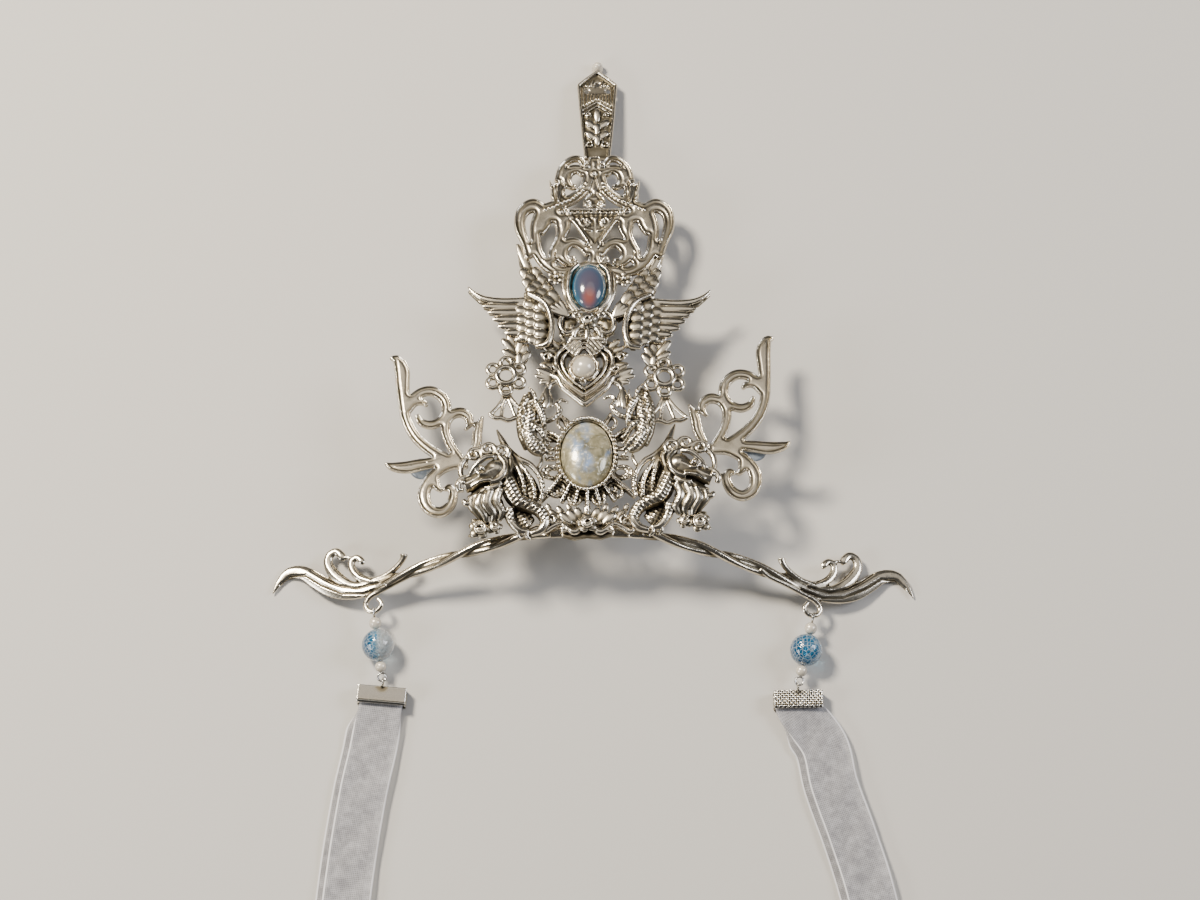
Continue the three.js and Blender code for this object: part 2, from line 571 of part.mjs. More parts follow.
/** A small scaly dragon standing on its coiled tail, with a raised wing and clawed legs. */
function smallDragon() {
  const low = LAYER.middle.low;
  const tables = {
    body: [[16.6, 40.8, 0.7, 3.4], [16.6, 36.6, 1.2, 4], [17, 32, 1.5, 4.3], [16.6, 27.4, 1.7, 4.2],
      [14.6, 24.8, 1, 3]],
    wing: [[18.2, 32, 0.5, 3], [18.6, 28.6, 0.5, 3], [17.8, 25.6, 0.6, 2.8]],
    head: [[16.2, 39.6, 0.9, 3.8], [14.6, 37.4, 1, 4.2], [13.4, 34.6, 0.8, 3.6], [12.9, 32.2, 0.4, 2.8]],
    foreleg: [[16, 32, 1, 3.8], [13.8, 30.6, 0.9, 3.8], [12.6, 28.4, 0.7, 3.2], [11.4, 27.4, 0.4, 2.6]],
    hindleg: [[16.4, 28, 1.1, 3.8], [13.6, 25.8, 0.8, 3.4], [12, 24, 0.5, 2.8]],
    tail: [[14.4, 34.4, 0.6, 3], [11.8, 34.4, 0.7, 3], [9.6, 35.6, 0.7, 3], [7.9, 37.8, 0.6, 2.8],
      [6.2, 39.2, 0.4, 2.6]],
    crest: [[15.4, 38.2, 0.6, 3.4], [17.2, 42.4, 0.3, 2.4]],
  };
  const parts = Object.values(tables).map((rows) => limb(table(MODELLED, rows), { low }));
  for (const v of [38.6, 35.4, 32.2]) {
    parts.push(leaf([17.2, v - 0.6], [18.3, v + 1.4], 0.5, { low, high: 3 }));
  }
  return fuse(parts);
}

const SUNBURST_RAY_TIPS = table(['x', 'v'], [
  [-7.7, 35.6], [5.9, 36.4], [-11.9, 30.8], [10.3, 31.8], [-14, 9.2], [12.8, 10.9], [-7.8, 9.2], [7.1, 9.6],
  [-0.6, 6.6], [-12.6, 22.6], [11, 22.9],
]);
const SUNBURST_LOOPS = table(['x', 'v', 'rx', 'rv'], [
  [8.8, 18.6, 2.2, 1.7], [-10.1, 18.2, 2.2, 1.7], [-7.4, 13, 1.8, 1.6], [-3, 11.6, 1.5, 1.7],
    [1.8, 11.6, 1.5, 1.7],
  [5.9, 13.4, 1.8, 1.6], [-10.2, 27.2, 2, 1.6], [8.8, 27.4, 2, 1.6],
]);

/** The sunburst under the large stone: a ring, straight rays and granulated petal loops. */
function sunburstPlate() {
  const layer = LAYER.back;
  const { x, v, rx, rv } = MOONSTONE;
  const parts = [sheet(round(x, v, rx + 0.9, rv + 0.9, 18), layer, [round(x, v, rx - 3, rv - 3, 12)])];
  for (const tip of SUNBURST_RAY_TIPS) {
    const reach = 0.9 / Math.hypot((tip.x - x) / rx, (tip.v - v) / rv);
    const root = [x + (tip.x - x) * reach, v + (tip.v - v) * reach, 0.5];
    parts.push(limb(table(LIMB, [root, [tip.x, tip.v, 0.45]]), { ...layer }));
  }
  for (const loop of SUNBURST_LOOPS) {
    parts.push(ring(loop.x, loop.v, loop.rx, 0.5,
      { ...layer, sides: 7, flat: 1, stretch: loop.rv / loop.rx }));
  }
  return fuse(parts);
}

/** The large stone's bezel: a floor, a wall and a lower rim, on which the grains stand. */
function moonstoneBezel() {
  const { low } = LAYER.middle;
  const { x, v, rx, rv } = MOONSTONE;
  const oval = (more) => round(x, v, rx + more, rv + more, 18);
  return fuse([
    sheet(oval(1.6), { low, high: low + 0.7 }, [oval(-1.4)]),
    sheet(oval(1), { low, high: low + 1.9 }, [oval(0.3)]),
  ]);
}

/** The rose and leaves at the foot of the crown. */
function baseRose() {
  const layer = LAYER.back;
  const parts = [...rose(-0.6, 1.9, 2.2, { low: layer.low, high: layer.high + 1.2 })];
  parts.push(leaf([-1.4, 2.6], [-4.2, 5.2], 0.9, layer), leaf([0.6, 2.6], [2.8, 5.6], 0.9, layer),
    leaf([-0.4, 3], [-0.3, 6.3], 0.9, { ...layer, blunt: 0.5 }));
  for (const [from, to] of [[-1.8, -6.6], [0.8, 5.6]]) {
    parts.push(limb(table(LIMB, [[from, 1.4, 0.8], [(from + to) / 2, 0.2, 0.9], [to, 0, 0.5]]),
      { ...layer }));
    parts.push(ring(to, 0.2, 1.1, 0.4, { ...layer, sides: 8 }));
  }
  parts.push(limb(table(LIMB, [[-7.6, -0.8, 0.5], [-4.2, -1.6, 0.7], [-0.6, -0.6, 0.9], [3, -1.4, 0.7],
    [6.4, -0.4, 0.5]]), layer));
  return fuse(parts);
}

/** A bearded horse with a bat's wing: a modelled head, a curled mane, a wing and two legs. */
function wingedHorse() {
  const low = LAYER.middle.low;
  const tables = {
    wingEdge: [[26.1, 30.9, 0.4, 3], [24, 26, 0.6, 3.2], [21.6, 22.8, 0.7, 3.4], [16.8, 20.2, 0.7, 3.4],
      [14.4, 17, 0.7, 3.2], [13.5, 13.6, 0.6, 3], [14, 10.6, 0.6, 3]],
    wingRib: [[22.6, 23.2, 0.6, 3.2], [20.6, 18.8, 0.6, 3], [19.6, 14.4, 0.7, 3], [19, 11, 0.7, 3.2]],
    wingRib2: [[19.6, 21.2, 0.5, 3.2], [17.4, 16.6, 1.3, 3], [16.4, 12, 1.4, 3], [16.4, 9, 1.2, 3.2]],
    spike: [[20.2, 21.8, 0.5, 3.2], [19.4, 26.2, 0.3, 2.4]],
    neck: [[25.4, 17.2, 2.4, 5.4], [23.8, 13, 2, 5], [22.2, 9.4, 1.7, 4.6], [20.6, 7.4, 1.5, 4.2]],
    body: [[25, 4.6, 1.2, 3.6], [22.4, 6.6, 1.8, 4.4], [18.6, 8, 1.5, 4.2], [15.2, 7.2, 1.4, 4],
      [13.2, 4.8, 1.1, 3.6]],
    foreleg: [[21.8, 6, 1.1, 3.6], [22.2, 2.6, 0.8, 3.2], [20.4, 0.2, 0.8, 3], [19, -1.4, 0.5, 2.8]],
    hindleg: [[13.8, 5.6, 1, 3.6], [13.4, 2.4, 0.8, 3.2], [15.6, 0.8, 0.9, 3.2], [18.4, 1.2, 0.8, 3]],
    face: [[26.4, 19.4, 2.6, 7.6], [28.6, 16.4, 2.2, 8.6], [31.2, 13.4, 1.5, 8], [33.4, 11.2, 1.3, 7.2]],
    jaw: [[26.4, 14.4, 1.5, 6.4], [29.6, 11.8, 1.1, 6.4], [32.4, 9.2, 0.9, 6]],
    lock: [[32.6, 21.4, 0.7, 4.4], [34.6, 18.6, 0.8, 4.6], [35.2, 15, 0.8, 4.8], [34, 12.4, 0.7, 5.2]],
    mane: [[24.2, 19, 0.9, 5], [25.4, 22.6, 0.9, 4.6], [27.6, 23.4, 0.9, 4.6], [28.4, 21.4, 0.7, 4.8]],
    ear: [[29, 19.6, 0.9, 5], [30.2, 22.6, 0.8, 4.6], [32, 23.8, 0.8, 4.4], [33.2, 22.2, 0.7, 4.4]],
    beard1: [[31, 10.4, 0.8, 5.4], [31.6, 7, 0.7, 4.6], [31.2, 4, 0.4, 3.6]],
    beard2: [[28.8, 11, 0.9, 5.4], [29.2, 7, 0.8, 4.8], [28.4, 3.6, 0.6, 3.6]],
    beard3: [[26, 11.4, 0.9, 5.2], [26.6, 7, 0.9, 4.6], [26.2, 4, 0.7, 3.6]],
  };
  const parts = Object.values(tables).map((rows) => limb(table(MODELLED, rows), { low }));
  parts.push(mound(26.2, 18.2, 3, 3.2, { low, high: 8 }));
  parts.push(mound(29.3, 17.2, 0.8, 0.7, { low: 6, high: 9.2, sides: 6, rings: 2 }));
  parts.push(mound(33.6, 10.8, 1.4, 1.2, { low, high: 7.8, sides: 6, rings: 2 }));
  return fuse(parts);
}

const HORSE_ROSES = table(['x', 'v', 'radius'], [[30.7, 0.4, 2.4], [27, 1, 1.6]]);

/** The two roses at a horse's breast, on their own leaves. */
function horseRoses() {
  const low = LAYER.middle.low;
  return fuse([
    ...HORSE_ROSES.flatMap((r) => rose(r.x, r.v, r.radius, { low, high: low + 3.2 })),
    leaf([29.6, -0.6], [26.4, -1.6], 0.8, { low, high: low + 1.4 }),
    leaf([30.6, 0.8], [30.8, 3.3], 0.8, { low, high: low + 1.4, blunt: 0.4 }),
  ]);
}

const SIDE_SCROLL = {
  stem: [[57.2, 54.4, 0.3], [55.3, 54, 1.4], [53.6, 51, 2.1], [53.2, 46, 1.9], [53, 41, 1.5],
    [52.4, 35.5, 1.3],
    [50, 30, 1.4], [45.2, 25.6, 1.5], [39.6, 22.3, 1.5], [34.5, 21.2, 1.6]],
  upper: [[52.4, 35.4, 0.9], [51.6, 39.6, 1.1], [49.2, 43, 1.3], [45.6, 44.2, 1.4], [42.2, 42.4, 1.4],
    [40.8, 39, 1.3], [41.8, 35.4, 1.2], [44.8, 33.4, 1.2], [47.8, 34.2, 1.1], [49.2, 36.4, 0.7]],
  knob: [[51.6, 38.2, 0.8], [49.8, 40.6, 0.9], [47.2, 40.2, 0.7]],
  second: [[36.2, 22, 1.3], [39.6, 27.4, 1.2], [41, 32.4, 1.2], [39.8, 36, 1.2], [37, 37.4, 1.3],
    [34.7, 36.2, 1.2],
    [34.2, 33.6, 0.9], [35.4, 31.8, 0.4]],
  blade: [[30.6, 35.8, 0.3], [31.3, 33.8, 1], [31.9, 31, 1.3], [32.1, 27.6, 1.3], [33.4, 23.4, 1.1]],
  bridge: [[34.6, 34.2, 0.6], [31.8, 33.4, 0.6]],
  outer: [[57.8, 21.2, 0.3], [55.8, 20.1, 1.2], [52, 20, 1.8], [47.5, 20.9, 1.6], [42.5, 21.8, 1.3],
    [36.6, 21.6, 1.2]],
  lower: [[34.4, 21.2, 1.2], [40, 20.4, 1.3], [44.4, 17, 1.5], [46.6, 12.2, 1.7], [45.6, 7.9, 1.6],
    [42.4, 6, 1.5],
    [39.4, 7.8, 1.4], [38.3, 11.4, 1.2], [39.4, 13.8, 0.9], [41, 13, 0.4]],
  stub: [[38.6, 12.8, 0.6], [35.4, 13, 0.6]],
};

/** A flat rimmed scroll branch that spreads beside a horse. */
function sideScroll() {
  return fuse(Object.values(SIDE_SCROLL).map((rows) => limb(table(LIMB, rows), LAYER.back)));
}

/** A clear glue pad behind the scroll branch's outer leaf. */
function clearPad() {
  return mound(47.6, 20.8, 3.4, 3.3, { low: -1.9, high: -GAP, sides: 14, rings: 3 });
}

// ---------------------------------------------------------------- headband and drops

/** Height of the headband's middle line over the surface, at `x` from the crown's middle. */
function bandHeight(x) {
  const share = Math.min(Math.abs(x) / BAND.end, 1);
  return BAND.endHeight + (BAND.midHeight - BAND.endHeight) * (0.5 + 0.5 * Math.cos(Math.PI * share));
}

const BAND_LINE = table(['x', 'y'], [[0, -5.6], [15, -6.5], [31, -9.9], [43, -13], [57, -17.2],
  [63, -19.4]]);
const BAND_CURVE = new THREE.CatmullRomCurve3(BAND_LINE.map((r) => new THREE.Vector3(r.x, r.y, 0)));

const BAND_WING = {
  blade: [[58, -17.4, 1.8], [64, -18.8, 2.9], [71, -18.6, 3.4], [77, -17, 2.6], [81.6, -13.9, 2.2],
    [85.4, -13.6, 1.7],
    [89, -16.4, 1], [91.3, -20.2, 0.3]],
  crook: [[70, -17.4, 1.7], [74.6, -14.4, 1.7], [76.6, -10.4, 1.3], [74.2, -7.6, 1], [71.6, -9.2, 0.8]],
  curl: [[63.4, -17.6, 1.5], [67.4, -14.8, 1.3], [69.2, -11.4, 1.1], [67.4, -9.4, 0.9], [65.6, -11.6, 0.6]],
  sprout: [[58.9, -16.6, 1.2], [54.4, -13.8, 1], [52.4, -11.4, 0.8], [53.6, -9.4, 0.9]],
};
const BAND_LOOP = { radius: 1.95, w: 0.5 };

/** A leafy wing end: cut flat, then sloped so that its tip lies on the surface. */
function bandWing(sign) {
  const { root, tip } = BAND.wing;
  const flat = fuse(Object.values(BAND_WING).map((rows) =>
    limb(table(LIMB, rows.map(([x, v, w]) => [x - root, v, w])), { low: -BAND.half, high: BAND.half })));
  const [out, down] = sign > 0 ? [1.6, -1.2] : [0, 0]; // the right wing sits further out
  const height = bandHeight(root + out);
  const slope = Math.asin((height - BAND.half) / (tip - root));
  const geometry = drawn(flat).rotateY(slope).translate(root + out, down, height);
  return solid(drawn(solid(geometry), sign));
}

/** One of the two strands that twist about each other between the bar and a wing end. */
function bandStrand(sign, phase) {
  const steps = 8;
  const turns = 1.5;
  const rows = Array.from({ length: steps + 1 }, (_, i) => {
    const share = i / steps;
    const place = BAND_CURVE.getPoint(0.2 + 0.8 * share);
    const swing = Math.cos(phase + 2 * Math.PI * turns * share);
    return {
      x: sign * place.x,
      v: place.y + 1.2 * swing,
      z: bandHeight(place.x),
      w: 1.2,
    };
  });
  const lift = sign * Math.cos(phase) * 0.3;
  return limb(rows, { low: lift - 0.55, high: lift + 0.55 });
}

/** The headband: a straight bar, twisted strands, leafy wing ends and a loop under each. */
function headband() {
  const parts = [];
  for (const { sign } of SIDES) {
    parts.push(bandStrand(sign, 0), bandStrand(sign, Math.PI), bandWing(sign));
    parts.push(leaf([sign * 33, -10.6], [sign * 40, -15], 1,
      { low: bandHeight(36) - 0.8, high: bandHeight(36) + 0.4 }));
  }
  for (const { x, y } of Object.values(DROP_LINE)) {
    const height = bandHeight(x);
    parts.push(ring(x, y, BAND_LOOP.radius, BAND_LOOP.w,
      { low: height - 0.5, high: height + 0.5, flat: 0.7 }));
    parts.push(limb(table(LIMB, [[x, y + 2, 0.6], [x, y + 5, 0.9]]),
      { low: height - 0.5, high: height + 0.6 }));
  }
  return fuse([...parts, headRest()]);
}

/** The bar behind the crown's foot. Its back is one flat face, which rests on the hair. */
function headRest() {
  const bar = new THREE.BoxGeometry(2 * BAND.barHalf, 4.4, BAND.barThick);
  return solid(bar.translate(0, -6, BAND.barTop - BAND.barThick / 2));
}

// Each drop runs down from the band's loop. Places along it start at the middle of the loop's wire.
const DROP_LINE = {
  left: { x: -61, y: -23.9, turn: 8, clampTurn: -5 },
  right: { x: 63.2, y: -25.4, turn: -13, clampTurn: 1 },
};

/** How far a drilled bead reaches along the pin from its middle. */
function reach(radius) {
  return Math.sqrt(radius ** 2 - PIN.bore ** 2);
}

/** Places along a drop, each worked out from the one above it. */
function dropPlaces() {
  const eyeTop = 0.15;
  const upperPearl = eyeTop + PIN.topEye + PIN.wire + reach(DROP.upperPearl);
  const crackle = upperPearl + reach(DROP.upperPearl) + DROP.gap + reach(DROP.crackle);
  const lowerPearl = crackle + reach(DROP.crackle) + DROP.gap + reach(DROP.lowerPearl);
  const eyeFoot = lowerPearl + reach(DROP.lowerPearl) + PIN.footEye + PIN.wire;
  const clampEye = eyeFoot + CLAMP_EYE.radius + 0.35;
  return { eyeTop, upperPearl, crackle, lowerPearl, eyeFoot, clampEye };
}
const DROP_AT = dropPlaces();

/** A bead drilled along +Y. */
function bead(radius, y, sides = 10) {
  const bore = PIN.bore;
  const rings = 4;
  const profile = [];
  for (let i = 0; i <= rings; i++) {
    const edge = Math.asin(bore / radius);
    const angle = -Math.PI / 2 + edge + ((Math.PI - 2 * edge) * i) / rings;
    profile.push(new THREE.Vector2(radius * Math.cos(angle), radius * Math.sin(angle)));
  }
  profile.push(profile[0].clone());
  return solid(outwards(new THREE.LatheGeometry(profile, sides).translate(0, -y, 0)));
}

/** The wire pin with an upright eye at its top and a flat eye at its foot. */
function eyePin() {
  const top = DROP_AT.eyeTop + PIN.topEye;
  const foot = DROP_AT.eyeFoot - PIN.footEye;
  const wire = new THREE.CylinderGeometry(PIN.wire, PIN.wire, foot - top, 5);
  const eye = (radius) => new THREE.TorusGeometry(radius, PIN.wire, 5, 10);
  return fuse([
    solid(wire.translate(0, -(top + foot) / 2, 0)),
    solid(eye(PIN.topEye).rotateY(Math.PI / 2).translate(0, -DROP_AT.eyeTop, 0)),
    solid(eye(PIN.footEye).translate(0, -DROP_AT.eyeFoot, 0)),
  ]);
}

/** The folded crimp: a back, two jaws and a wire ring standing on its fold. */
function ribbonClamp() {
  const { width, length, wall, height } = CLAMP;
  const jaw = () => new THREE.BoxGeometry(width, length, wall).translate(0, -length / 2, 0);
  const back = new THREE.BoxGeometry(width, wall, height).translate(0, -wall / 2, height / 2);
  const eye = new THREE.TorusGeometry(CLAMP_EYE.radius, PIN.wire, 5, 10).rotateY(Math.PI / 2);
  return fuse([
    solid(back), solid(jaw().translate(0, 0, wall / 2)), solid(jaw().translate(0, 0, height - wall / 2)),
    solid(eye.translate(0, CLAMP_EYE.stand, CLAMP_EYE.height)),
  ]);
}

const RIBBON_LINE = {
  left: table(['x', 'y'], [[-60.5, -64.4], [-63.1, -77.6], [-65.7, -95.5], [-67.4, -111.5], [-68.6, -124]]),
  right: table(['x', 'y'], [[65.7, -63.3], [68.3, -74.8], [72.8, -88.3], [76.7, -101.2], [80.6, -118]]),
};

/** One layer of ribbon, tucked in its clamp at one height and lying at another. */
function ribbon(line, { aside, clampHeight, height, slant }) {
  const steps = 10;
  const curve = new THREE.CatmullRomCurve3(line.map((r) => new THREE.Vector3(r.x, r.y, 0)));
  const rings = [];
  for (let i = 0; i <= steps; i++) {
    const t = i / steps;
    const centre = curve.getPointAt(t);
    const along = curve.getTangentAt(t);
    const side = new THREE.Vector3(-along.y, along.x, 0);
    const drop = THREE.MathUtils.smoothstep(t, 0.068, 0.17);
    const z = THREE.MathUtils.lerp(clampHeight, height, drop);
    const shift = aside * drop;
    const place = (across, up) => centre.clone()
      .addScaledVector(side, across + shift)
      .addScaledVector(along, i === steps ? slant * across : 0)
      .setZ(z + up);
    const half = RIBBON.width / 2 - 0.6 * (1 - drop);
    rings.push([place(-half, 0), place(half, 0), place(half, RIBBON.thick), place(-half, RIBBON.thick)]);
  }
  return solid(skin(rings));
}

// ---------------------------------------------------------------- assembly

const crown = new THREE.Group();
const plate = new THREE.Group();
plate.rotation.x = -PLATE_LEAN;
plate.position.set(0, PLATE_FOOT_Y, FINIAL_BEAD.radius + FINIAL_BEAD.v * Math.sin(PLATE_LEAN)
  - FINIAL_BEAD.height * Math.cos(PLATE_LEAN));
crown.add(plate);

/** Adds one named piece and returns its mesh. */
function add(parent, name, body, material, sign = 1) {
  const mesh = new THREE.Mesh(drawn(body, sign), material);
  mesh.name = name;
  parent.add(mesh);
  return mesh;
}

/** Adds the left and right hand of a casting whose table runs outwards. */
function addPair(name, body, material, slide, seat = RIGHT_SEAT[name]) {
  for (const { label, sign } of SIDES) {
    const mesh = add(plate, `${name}_${label}`, body, material, sign);
    mesh.position.y = slide;
    if (sign > 0 && seat) {
      const turn = THREE.MathUtils.degToRad(seat.turn);
      const pivot = new THREE.Vector3(...seat.pivot, 0);
      const turned = pivot.clone().applyAxisAngle(new THREE.Vector3(0, 0, 1), turn);
      mesh.rotation.z = turn;
      mesh.position.add(pivot.sub(turned)).add(new THREE.Vector3(...seat.move, 0));
    }
  }
}

/** Adds two like pieces at their own places. */
function addAt(name, body, material, places, slide) {
  SIDES.forEach(({ label, sign }, i) => {
    const mesh = add(plate, `${name}_${label}`, body, material, sign);
    mesh.position.set(places[i][0], places[i][1] + slide, 0);
  });
}

function addCastings() {
  const { back, middle, front } = LAYER;
  add(plate, 'finial_plate', finialPlate(), MATERIAL.silver);
  const tip = new THREE.SphereGeometry(FINIAL_BEAD.radius, 12, 8);
  add(plate, 'finial_bead', solid(at(tip, FINIAL_BEAD.x, FINIAL_BEAD.v, FINIAL_BEAD.height)),
    MATERIAL.pearl);
  add(plate, 'scroll_plate', scrollPlate(), MATERIAL.silver).position.y = middle.slide;
  addPair('upper_wing', upperWing(), MATERIAL.silver, back.slide);
  addPair('mid_wing', midWing(), MATERIAL.silver, middle.slide);
  addPair('leaf_sprig', leafSprig(), MATERIAL.silver, back.slide);
  add(plate, 'opal_setting', opalSetting(), MATERIAL.silver).position.y = front.slide;
  add(plate, 'opal_stone', cabochon(OPAL, front.low + 0.6 + GAP, 3.2),
    MATERIAL.opal).position.y = front.slide;
  addAt('blossom', blossom(), MATERIAL.darkSilver, [[-9.8, 80.4], [9.8, 79.8]], front.slide);
  add(plate, 'rose_mask', roseMask(), MATERIAL.silver).position.y = middle.slide;
  add(plate, 'heart_filigree', heartFiligree(), MATERIAL.silver).position.y = back.slide;
  add(plate, 'pearl_cup', pearlCup(), MATERIAL.silver).position.y = middle.slide;
  const pearl = mound(PEARL.x, PEARL.v, PEARL.r, PEARL.r,
    { low: middle.low + 0.6 + GAP, high: middle.low + 4.4, sides: 14, rings: 4 });
  add(plate, 'pearl_stone', pearl, MATERIAL.pearl).position.y = middle.slide;
  add(plate, 'chevron_bar', chevronBar(), MATERIAL.silver).position.y = middle.slide;
  addAt('flower_ring', flowerRing(), MATERIAL.silver, [[-23.9, 48.6], [21.3, 48.1]], front.slide);
  addAt('fan', fan(), MATERIAL.silver, [[-23.7, 42.4], [21.5, 41.6]], middle.slide);
  addPair('small_dragon', smallDragon(), MATERIAL.silver, middle.slide);
  add(plate, 'sunburst_plate', sunburstPlate(), MATERIAL.silver).position.y = back.slide;
  add(plate, 'moonstone_bezel', moonstoneBezel(), MATERIAL.silver).position.y = middle.slide;
  add(plate, 'moonstone', cabochon(MOONSTONE, middle.low + 0.7 + GAP, 4.2, 18), MATERIAL.moonstone)
    .position.y = middle.slide;
  add(plate, 'base_rose', baseRose(), MATERIAL.silver).position.y = back.slide;
  addPair('winged_horse', wingedHorse(), MATERIAL.silver, middle.slide);
  addPair('horse_rose', horseRoses(), MATERIAL.silver, middle.slide, RIGHT_SEAT.winged_horse);
  addPair('side_scroll', sideScroll(), MATERIAL.silver, back.slide);
  addPair('clear_pad', clearPad(), MATERIAL.resin, back.slide);
}

/** The middle of the wire of a band loop, where its drop starts. */
function dropStart({ x, y }) {
  return new THREE.Vector3(x, y - BAND_LOOP.radius, bandHeight(x));
}

/** Adds one drop: a pin and its three beads, sloping down so that the large bead lies on the surface. */
function addDrop(label, line) {
  const drop = new THREE.Group();
  drop.position.copy(dropStart(line));
  drop.rotation.z = THREE.MathUtils.degToRad(line.turn);
  const slope = new THREE.Group();
  slope.rotation.x = Math.asin((drop.position.z - DROP.crackle) / DROP_AT.crackle);
  drop.add(slope);
  crown.add(drop);
  add(slope, `eye_pin_${label}`, eyePin(), MATERIAL.steel);
  add(slope, `upper_pearl_${label}`, bead(DROP.upperPearl, DROP_AT.upperPearl), MATERIAL.pearl);
  add(slope, `crackle_bead_${label}`, bead(DROP.crackle, DROP_AT.crackle, 12), MATERIAL.crackle);
  add(slope, `lower_pearl_${label}`, bead(DROP.lowerPearl, DROP_AT.lowerPearl), MATERIAL.pearl);
}

/** Adds a clamp, hung on its drop's lower eye, and its two ribbon layers on the surface. */
function addRibbons(label, line) {
  const clamp = add(crown, `ribbon_clamp_${label}`, ribbonClamp(), MATERIAL.darkSilver);
  const axis = new THREE.Vector3(0, 0, 1);
  const turn = THREE.MathUtils.degToRad(line.turn);
  const clampTurn = THREE.MathUtils.degToRad(line.clampTurn);
  const eye = new THREE.Vector3(0, -DROP_AT.clampEye, 0).applyAxisAngle(axis, turn).add(dropStart(line));
  const inClamp = (y) => new THREE.Vector3(0, y - CLAMP_EYE.stand, 0)
    .applyAxisAngle(axis, clampTurn).add(eye);
  clamp.position.copy(inClamp(0)).setZ(0);
  clamp.rotation.z = clampTurn;
  const start = [inClamp(-CLAMP.wall - GAP), inClamp(-CLAMP.length)].map(({ x, y }) => ({ x, y }));
  const route = [...start, ...RIBBON_LINE[label]];
  const step = RIBBON.thick + GAP;
  const low = CLAMP.wall + GAP;
  add(crown, `ribbon_back_${label}`,
    ribbon(route, { aside: -2, clampHeight: low, height: 0, slant: 0.3 }), MATERIAL.organza);
  add(crown, `ribbon_front_${label}`,
    ribbon(route, { aside: 0, clampHeight: low + step, height: step, slant: -0.25 }), MATERIAL.organza);
}

addCastings();
add(crown, 'headband', headband(), MATERIAL.silver);
for (const [label, line] of Object.entries(DROP_LINE)) {
  addDrop(label, line);
  addRibbons(label, line);
}

// The origin is the middle of the crown's box, on the surface.
const box = new THREE.Box3().setFromObject(crown, true);
const middleOfBox = box.getCenter(new THREE.Vector3());
crown.position.set(-middleOfBox.x, -middleOfBox.y, -box.min.z);

export default crown;
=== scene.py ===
import logging
import math
from dataclasses import dataclass, field
from enum import Enum

import bpy
import numpy as np
from mathutils import Matrix, Vector
from mathutils.kdtree import KDTree


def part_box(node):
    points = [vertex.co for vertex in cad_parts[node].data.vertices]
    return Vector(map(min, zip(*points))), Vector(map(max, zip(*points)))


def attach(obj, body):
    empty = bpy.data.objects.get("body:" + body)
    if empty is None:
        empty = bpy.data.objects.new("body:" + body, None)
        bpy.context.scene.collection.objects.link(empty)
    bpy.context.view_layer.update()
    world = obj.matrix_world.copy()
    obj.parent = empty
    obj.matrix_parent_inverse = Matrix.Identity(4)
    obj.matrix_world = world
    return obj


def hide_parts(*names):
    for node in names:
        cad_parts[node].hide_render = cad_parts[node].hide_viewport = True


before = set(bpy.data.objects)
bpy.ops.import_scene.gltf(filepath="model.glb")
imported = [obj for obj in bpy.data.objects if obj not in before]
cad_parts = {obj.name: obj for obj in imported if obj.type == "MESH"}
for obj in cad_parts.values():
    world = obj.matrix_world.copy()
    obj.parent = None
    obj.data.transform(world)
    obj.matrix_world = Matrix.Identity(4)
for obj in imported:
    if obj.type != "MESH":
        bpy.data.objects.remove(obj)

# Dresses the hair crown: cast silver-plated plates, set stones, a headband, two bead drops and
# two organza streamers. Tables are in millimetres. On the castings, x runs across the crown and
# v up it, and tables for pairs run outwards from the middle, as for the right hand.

MM = 0.001
LOG = logging.getLogger("crown")

Row = tuple[float, ...]
Rows = tuple[Row, ...]


# ---------------------------------------------------------------- colours and node trees


def linear(code: str, alpha: float = 1.0) -> tuple[float, float, float, float]:
    """Turns an sRGB hex colour to linear.

    Args:
        code: six hex digits, with or without a leading hash.
        alpha: the fourth channel.

    Returns:
        Red, green, blue and alpha.
    """
    code = code.lstrip("#")
    parts = [int(code[i : i + 2], 16) / 255 for i in (0, 2, 4)]
    red, green, blue = (c / 12.92 if c <= 0.04045 else ((c + 0.055) / 1.055) ** 2.4 for c in parts)
    return red, green, blue, alpha


